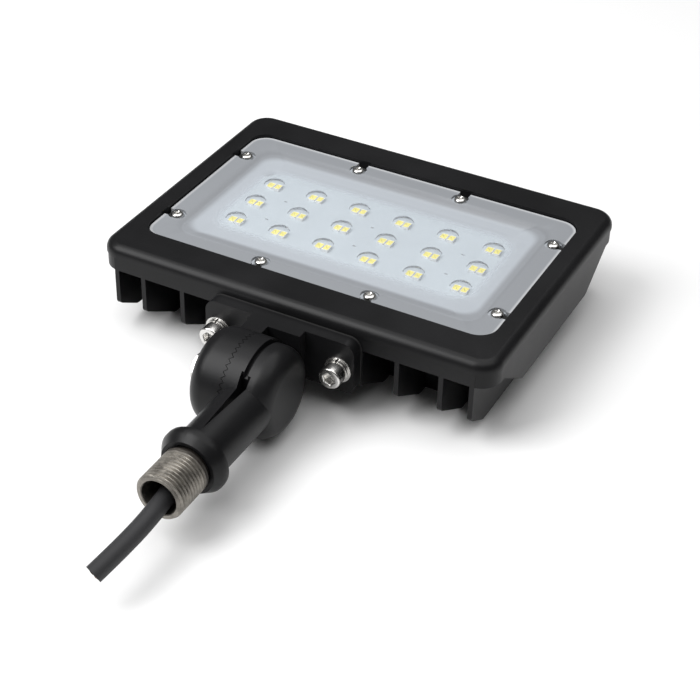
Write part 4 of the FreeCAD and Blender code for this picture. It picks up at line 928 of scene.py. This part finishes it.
class FLOODLIGHT_OT_bolts(Dressing):
    """Make the bracket bolts with their washers, and the pivot bolt"""

    bl_idname = "flood_light.bolts"
    bl_label = "Bolts"

    BOLT_X = 29.5 * MM
    HEAD, HEAD_HEIGHT, SHANK = 5.0 * MM, 6.0 * MM, 3.0 * MM
    KEY, KEY_DEPTH = 5.0 * MM, 3.0 * MM
    PIVOT_FLATS, PIVOT_HEIGHT, PIVOT_SHANK = 13.0 * MM, 4.0 * MM, 4.0 * MM

    def execute(self, context):
        steel = self.steel(context)
        low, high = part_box("bracket_bolts")
        seat = Vector((FACE.x, low.y + self.HEAD_HEIGHT, 0))
        bolt = paint(self.socket_bolt(seat, high.y - seat.y), steel)
        moves = [Vector((x, 0, 0)) for x in (-self.BOLT_X, self.BOLT_X)]
        hand_over(repeated(bolt, moves), "head", "steel", "bracket_bolts")
        for node, body in (("flat_washers", "head"), ("spring_washers", "head"), ("pivot_washer", "arm")):
            ring = soften(cast_copy(node, node.replace("washer", "ring")), 0.18 * MM)
            hand_over(paint(ring, steel), body, "steel", node)
        hand_over(paint(self.pivot_bolt(), steel), "arm", "steel", "pivot_bolt")
        return {"FINISHED"}

    def socket_bolt(self, seat, grip):
        """A socket head cap bolt with a chamfered rim and a hexagon socket."""
        head, height = self.HEAD, self.HEAD_HEIGHT
        profile = [
            (-grip, 0),
            (-grip, self.SHANK * 0.75),
            (-grip + 0.8 * MM, self.SHANK),
            (0, self.SHANK),
            (0, head * 0.96),
            (0.2 * MM, head),
            (height - 0.75 * MM, head),
            (height - 0.3 * MM, head * 0.95),
            (height, head * 0.86),
            (height, 0),
        ]
        bolt = spun("socket_bolts", seat, FORWARD, profile, 48)
        front = seat + FORWARD * height
        corner = self.KEY / math.sqrt(3)
        key = [(-self.KEY_DEPTH, 0), (-self.KEY_DEPTH, corner), (-0.3 * MM, corner),
               (0.2 * MM, corner + 0.5 * MM), (0.2 * MM, 0)]
        carve(bolt, spun("socket", front, FORWARD, key, 6))
        return soften(bolt, 0.1 * MM, 2)

    def pivot_bolt(self):
        """The pivot bolt: a hexagon head with its corners turned off, on a plain shank."""
        low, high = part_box("pivot_bolt")
        seat = Vector((low.x + self.PIVOT_HEIGHT, (low.y + high.y) / 2, 0))
        height = self.PIVOT_HEIGHT
        corner = self.PIVOT_FLATS / math.sqrt(3)
        sides = [(0, 0), (0, corner), (height, corner), (height, 0)]
        bolt = spun("pivot_hex_bolt", seat, LEFT, sides, 6)
        turned = spun("turned", seat, LEFT, [
            (0, 0), (0, corner * 0.95), (0.35 * MM, corner * 1.02), (height - 1.0 * MM, corner * 1.02),
            (height, corner * 0.84), (height, 0)], 64)
        carve(bolt, turned, "INTERSECT")
        grip = high.x - seat.x
        shank = spun("shank", seat, LEFT, [
            (-grip, 0), (-grip, self.PIVOT_SHANK * 0.8), (-grip + 0.8 * MM, self.PIVOT_SHANK),
            (0.5 * MM, self.PIVOT_SHANK), (0.5 * MM, 0)], 48)
        carve(bolt, shank, "UNION")
        return soften(bolt, 0.1 * MM, 2)


class FLOODLIGHT_OT_nipple(Dressing):
    """Turn the nipple, cut its pipe thread and rub its top flat"""

    bl_idname = "flood_light.nipple"
    bl_label = "Nipple"

    RADIUS, BORE, SPIGOT, SPIGOT_LENGTH, REACH = 10.45 * MM, 7.8 * MM, 9.3 * MM, 12.0 * MM, 20.5 * MM
    CHAMFER, RUBBED = 0.35 * MM, 9.95 * MM

    def execute(self, context):
        metal = context.scene.flood_light_metal
        root = self.RADIUS - metal.thread_depth
        tube = spun("nipple_thread", Vector((0, 0, 0)), FORWARD, [
            (self.REACH, self.BORE + self.CHAMFER), (self.REACH, root), (0.6 * MM, root),
            (0, self.SPIGOT), (-self.SPIGOT_LENGTH, self.SPIGOT), (-self.SPIGOT_LENGTH, self.BORE),
            (self.REACH - self.CHAMFER, self.BORE), (self.REACH, self.BORE + self.CHAMFER)], 72)
        carve(tube, self.ridge(metal, root), "UNION")
        envelope = spun("envelope", Vector((0, 0, 0)), FORWARD, [
            (self.REACH, 0), (self.REACH, root + 0.05 * MM), (self.REACH - 0.8 * MM, self.RADIUS),
            (1.3 * MM, self.RADIUS), (0.3 * MM, root + 0.02 * MM), (0.01 * MM, self.SPIGOT + 0.1 * MM),
            (0, self.SPIGOT), (-self.SPIGOT_LENGTH, self.SPIGOT), (-self.SPIGOT_LENGTH, 0)], 72)
        rub = block("rub", (0, -self.REACH / 2, self.RUBBED + 1.0 * MM), (30 * MM, 40 * MM, 2.0 * MM))
        carve(envelope, rub)
        carve(tube, envelope, "INTERSECT")
        with editing(tube):
            bpy.ops.mesh.remove_doubles(threshold=WELD)
            bpy.ops.mesh.dissolve_degenerate(threshold=WELD)
        smooth(tube, 30)
        paint(tube, zinc_plate("dull_zinc_plate", metal))
        hand_over(tube, "arm", "zinc", "nipple")
        return {"FINISHED"}

    def ridge(self, metal, root):
        """The thread's ridge: one tooth wound along the nipple by a Screw modifier."""
        pitch = metal.thread_pitch
        turns = math.ceil(self.REACH / pitch) + 1
        start = 0.8 * MM - pitch * turns
        crest = self.RADIUS + 0.08 * MM
        foot = root - 0.25 * MM
        corners = [
            Vector((foot, start - pitch * 0.49, 0)),
            Vector((crest, start - pitch * 0.1, 0)),
            Vector((crest, start + pitch * 0.1, 0)),
            Vector((foot, start + pitch * 0.49, 0)),
        ]
        tooth = drawn("thread_ridge", corners + corners[:1])
        with editing(tooth):
            bpy.ops.mesh.remove_doubles(threshold=WELD)
        winding = tooth.modifiers.new("winding", "SCREW")
        winding.axis = "Y"
        winding.angle = 2 * math.pi
        winding.screw_offset = pitch
        winding.iterations = turns
        winding.steps = 72
        winding.render_steps = 72
        bpy.ops.object.modifier_apply(modifier=winding.name)
        with editing(tooth):
            bpy.ops.mesh.remove_doubles(threshold=WELD)
            bpy.ops.mesh.select_all(action="SELECT")
            bpy.ops.mesh.fill_holes(sides=0)
            bpy.ops.mesh.select_all(action="SELECT")
            bpy.ops.mesh.normals_make_consistent(inside=False)
        return tooth


class FLOODLIGHT_OT_inside(Dressing):
    """Give the board, the seals, the driver and the wires inside their finishes"""

    bl_idname = "flood_light.inside"
    bl_label = "Inside"

    RUBBER = ["lens_gasket", "back_gasket", "bracket_gasket", "knuckle_seal", "cord_grommet"]
    WIRES = ["led_leads", "supply_wires", "cord_cores"]

    def execute(self, context):
        leds = context.scene.flood_light_leds
        cord = context.scene.flood_light_cord
        board = moulded("white_solder_mask", tuple(leds.board), 0.42, 0.6 * MM, 0.01 * MM, 0.03)
        rubber = moulded("black_seal_rubber", (0.02, 0.02, 0.02), 0.7, 0.7 * MM, 0.05 * MM)
        wires = moulded("wire_insulation", (0.72, 0.72, 0.68), 0.5, 0.5 * MM, 0.02 * MM)
        finishes = {
            "led_board": board,
            "thermal_pad": moulded("grey_gap_pad", (0.38, 0.4, 0.43), 0.8, 0.9 * MM, 0.08 * MM),
            "driver_screws": self.steel(context),
            "driver_case": moulded("driver_case_plastic", (0.78, 0.78, 0.75), 0.5, 0.8 * MM, 0.04 * MM),
            "driver_board": moulded("green_solder_mask", (0.03, 0.2, 0.07), 0.4, 0.6 * MM, 0.01 * MM),
            "driver_components": moulded("driver_part_sleeves", (0.08, 0.08, 0.1), 0.35, 0.5 * MM, 0.02 * MM),
            "cord_inner": moulded("inner_jacket", tuple(cord.jacket), 0.65, 0.6 * MM, 0.03 * MM),
        }
        finishes.update({node: rubber for node in self.RUBBER})
        finishes.update({node: wires for node in self.WIRES})
        for node, finish in finishes.items():
            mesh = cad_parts[node].data
            mesh.materials.clear()
            mesh.materials.append(finish)
        return {"FINISHED"}


OPERATORS = [
    FLOODLIGHT_OT_stage,
    FLOODLIGHT_OT_cord,
    FLOODLIGHT_OT_housing,
    FLOODLIGHT_OT_cover,
    FLOODLIGHT_OT_leds,
    FLOODLIGHT_OT_screws,
    FLOODLIGHT_OT_knuckle,
    FLOODLIGHT_OT_bolts,
    FLOODLIGHT_OT_nipple,
    FLOODLIGHT_OT_inside,
]


class FLOODLIGHT_PT_dressing(bpy.types.Panel):
    """Lists the pieces and their settings"""

    bl_idname = "FLOODLIGHT_PT_dressing"
    bl_label = "Flood light"
    bl_space_type = "VIEW_3D"
    bl_region_type = "UI"
    bl_category = "Flood light"

    def draw(self, context):
        for operator in OPERATORS:
            self.layout.operator(operator.bl_idname)
        for name, group in GROUPS.items():
            settings = getattr(context.scene, name)
            section = self.layout.box()
            section.label(text=group.__doc__)
            for field in group.__annotations__:
                section.prop(settings, field)


def register():
    for group in GROUPS.values():
        bpy.utils.register_class(group)
    for operator in OPERATORS:
        bpy.utils.register_class(operator)
    bpy.utils.register_class(FLOODLIGHT_PT_dressing)
    for name, group in GROUPS.items():
        setattr(bpy.types.Scene, name, PointerProperty(type=group))


def unregister():
    for name in GROUPS:
        delattr(bpy.types.Scene, name)
    bpy.utils.unregister_class(FLOODLIGHT_PT_dressing)
    for operator in reversed(OPERATORS):
        bpy.utils.unregister_class(operator)
    for group in reversed(GROUPS.values()):
        bpy.utils.unregister_class(group)


def main():
    register()
    bpy.ops.flood_light.stage()
    bpy.ops.flood_light.cord()
    bpy.ops.flood_light.housing()
    bpy.ops.flood_light.cover()
    bpy.ops.flood_light.leds()
    bpy.ops.flood_light.screws()
    bpy.ops.flood_light.knuckle()
    bpy.ops.flood_light.bolts()
    bpy.ops.flood_light.nipple()
    bpy.ops.flood_light.inside()
    clear_selection()


if __name__ == "__main__":
    main()
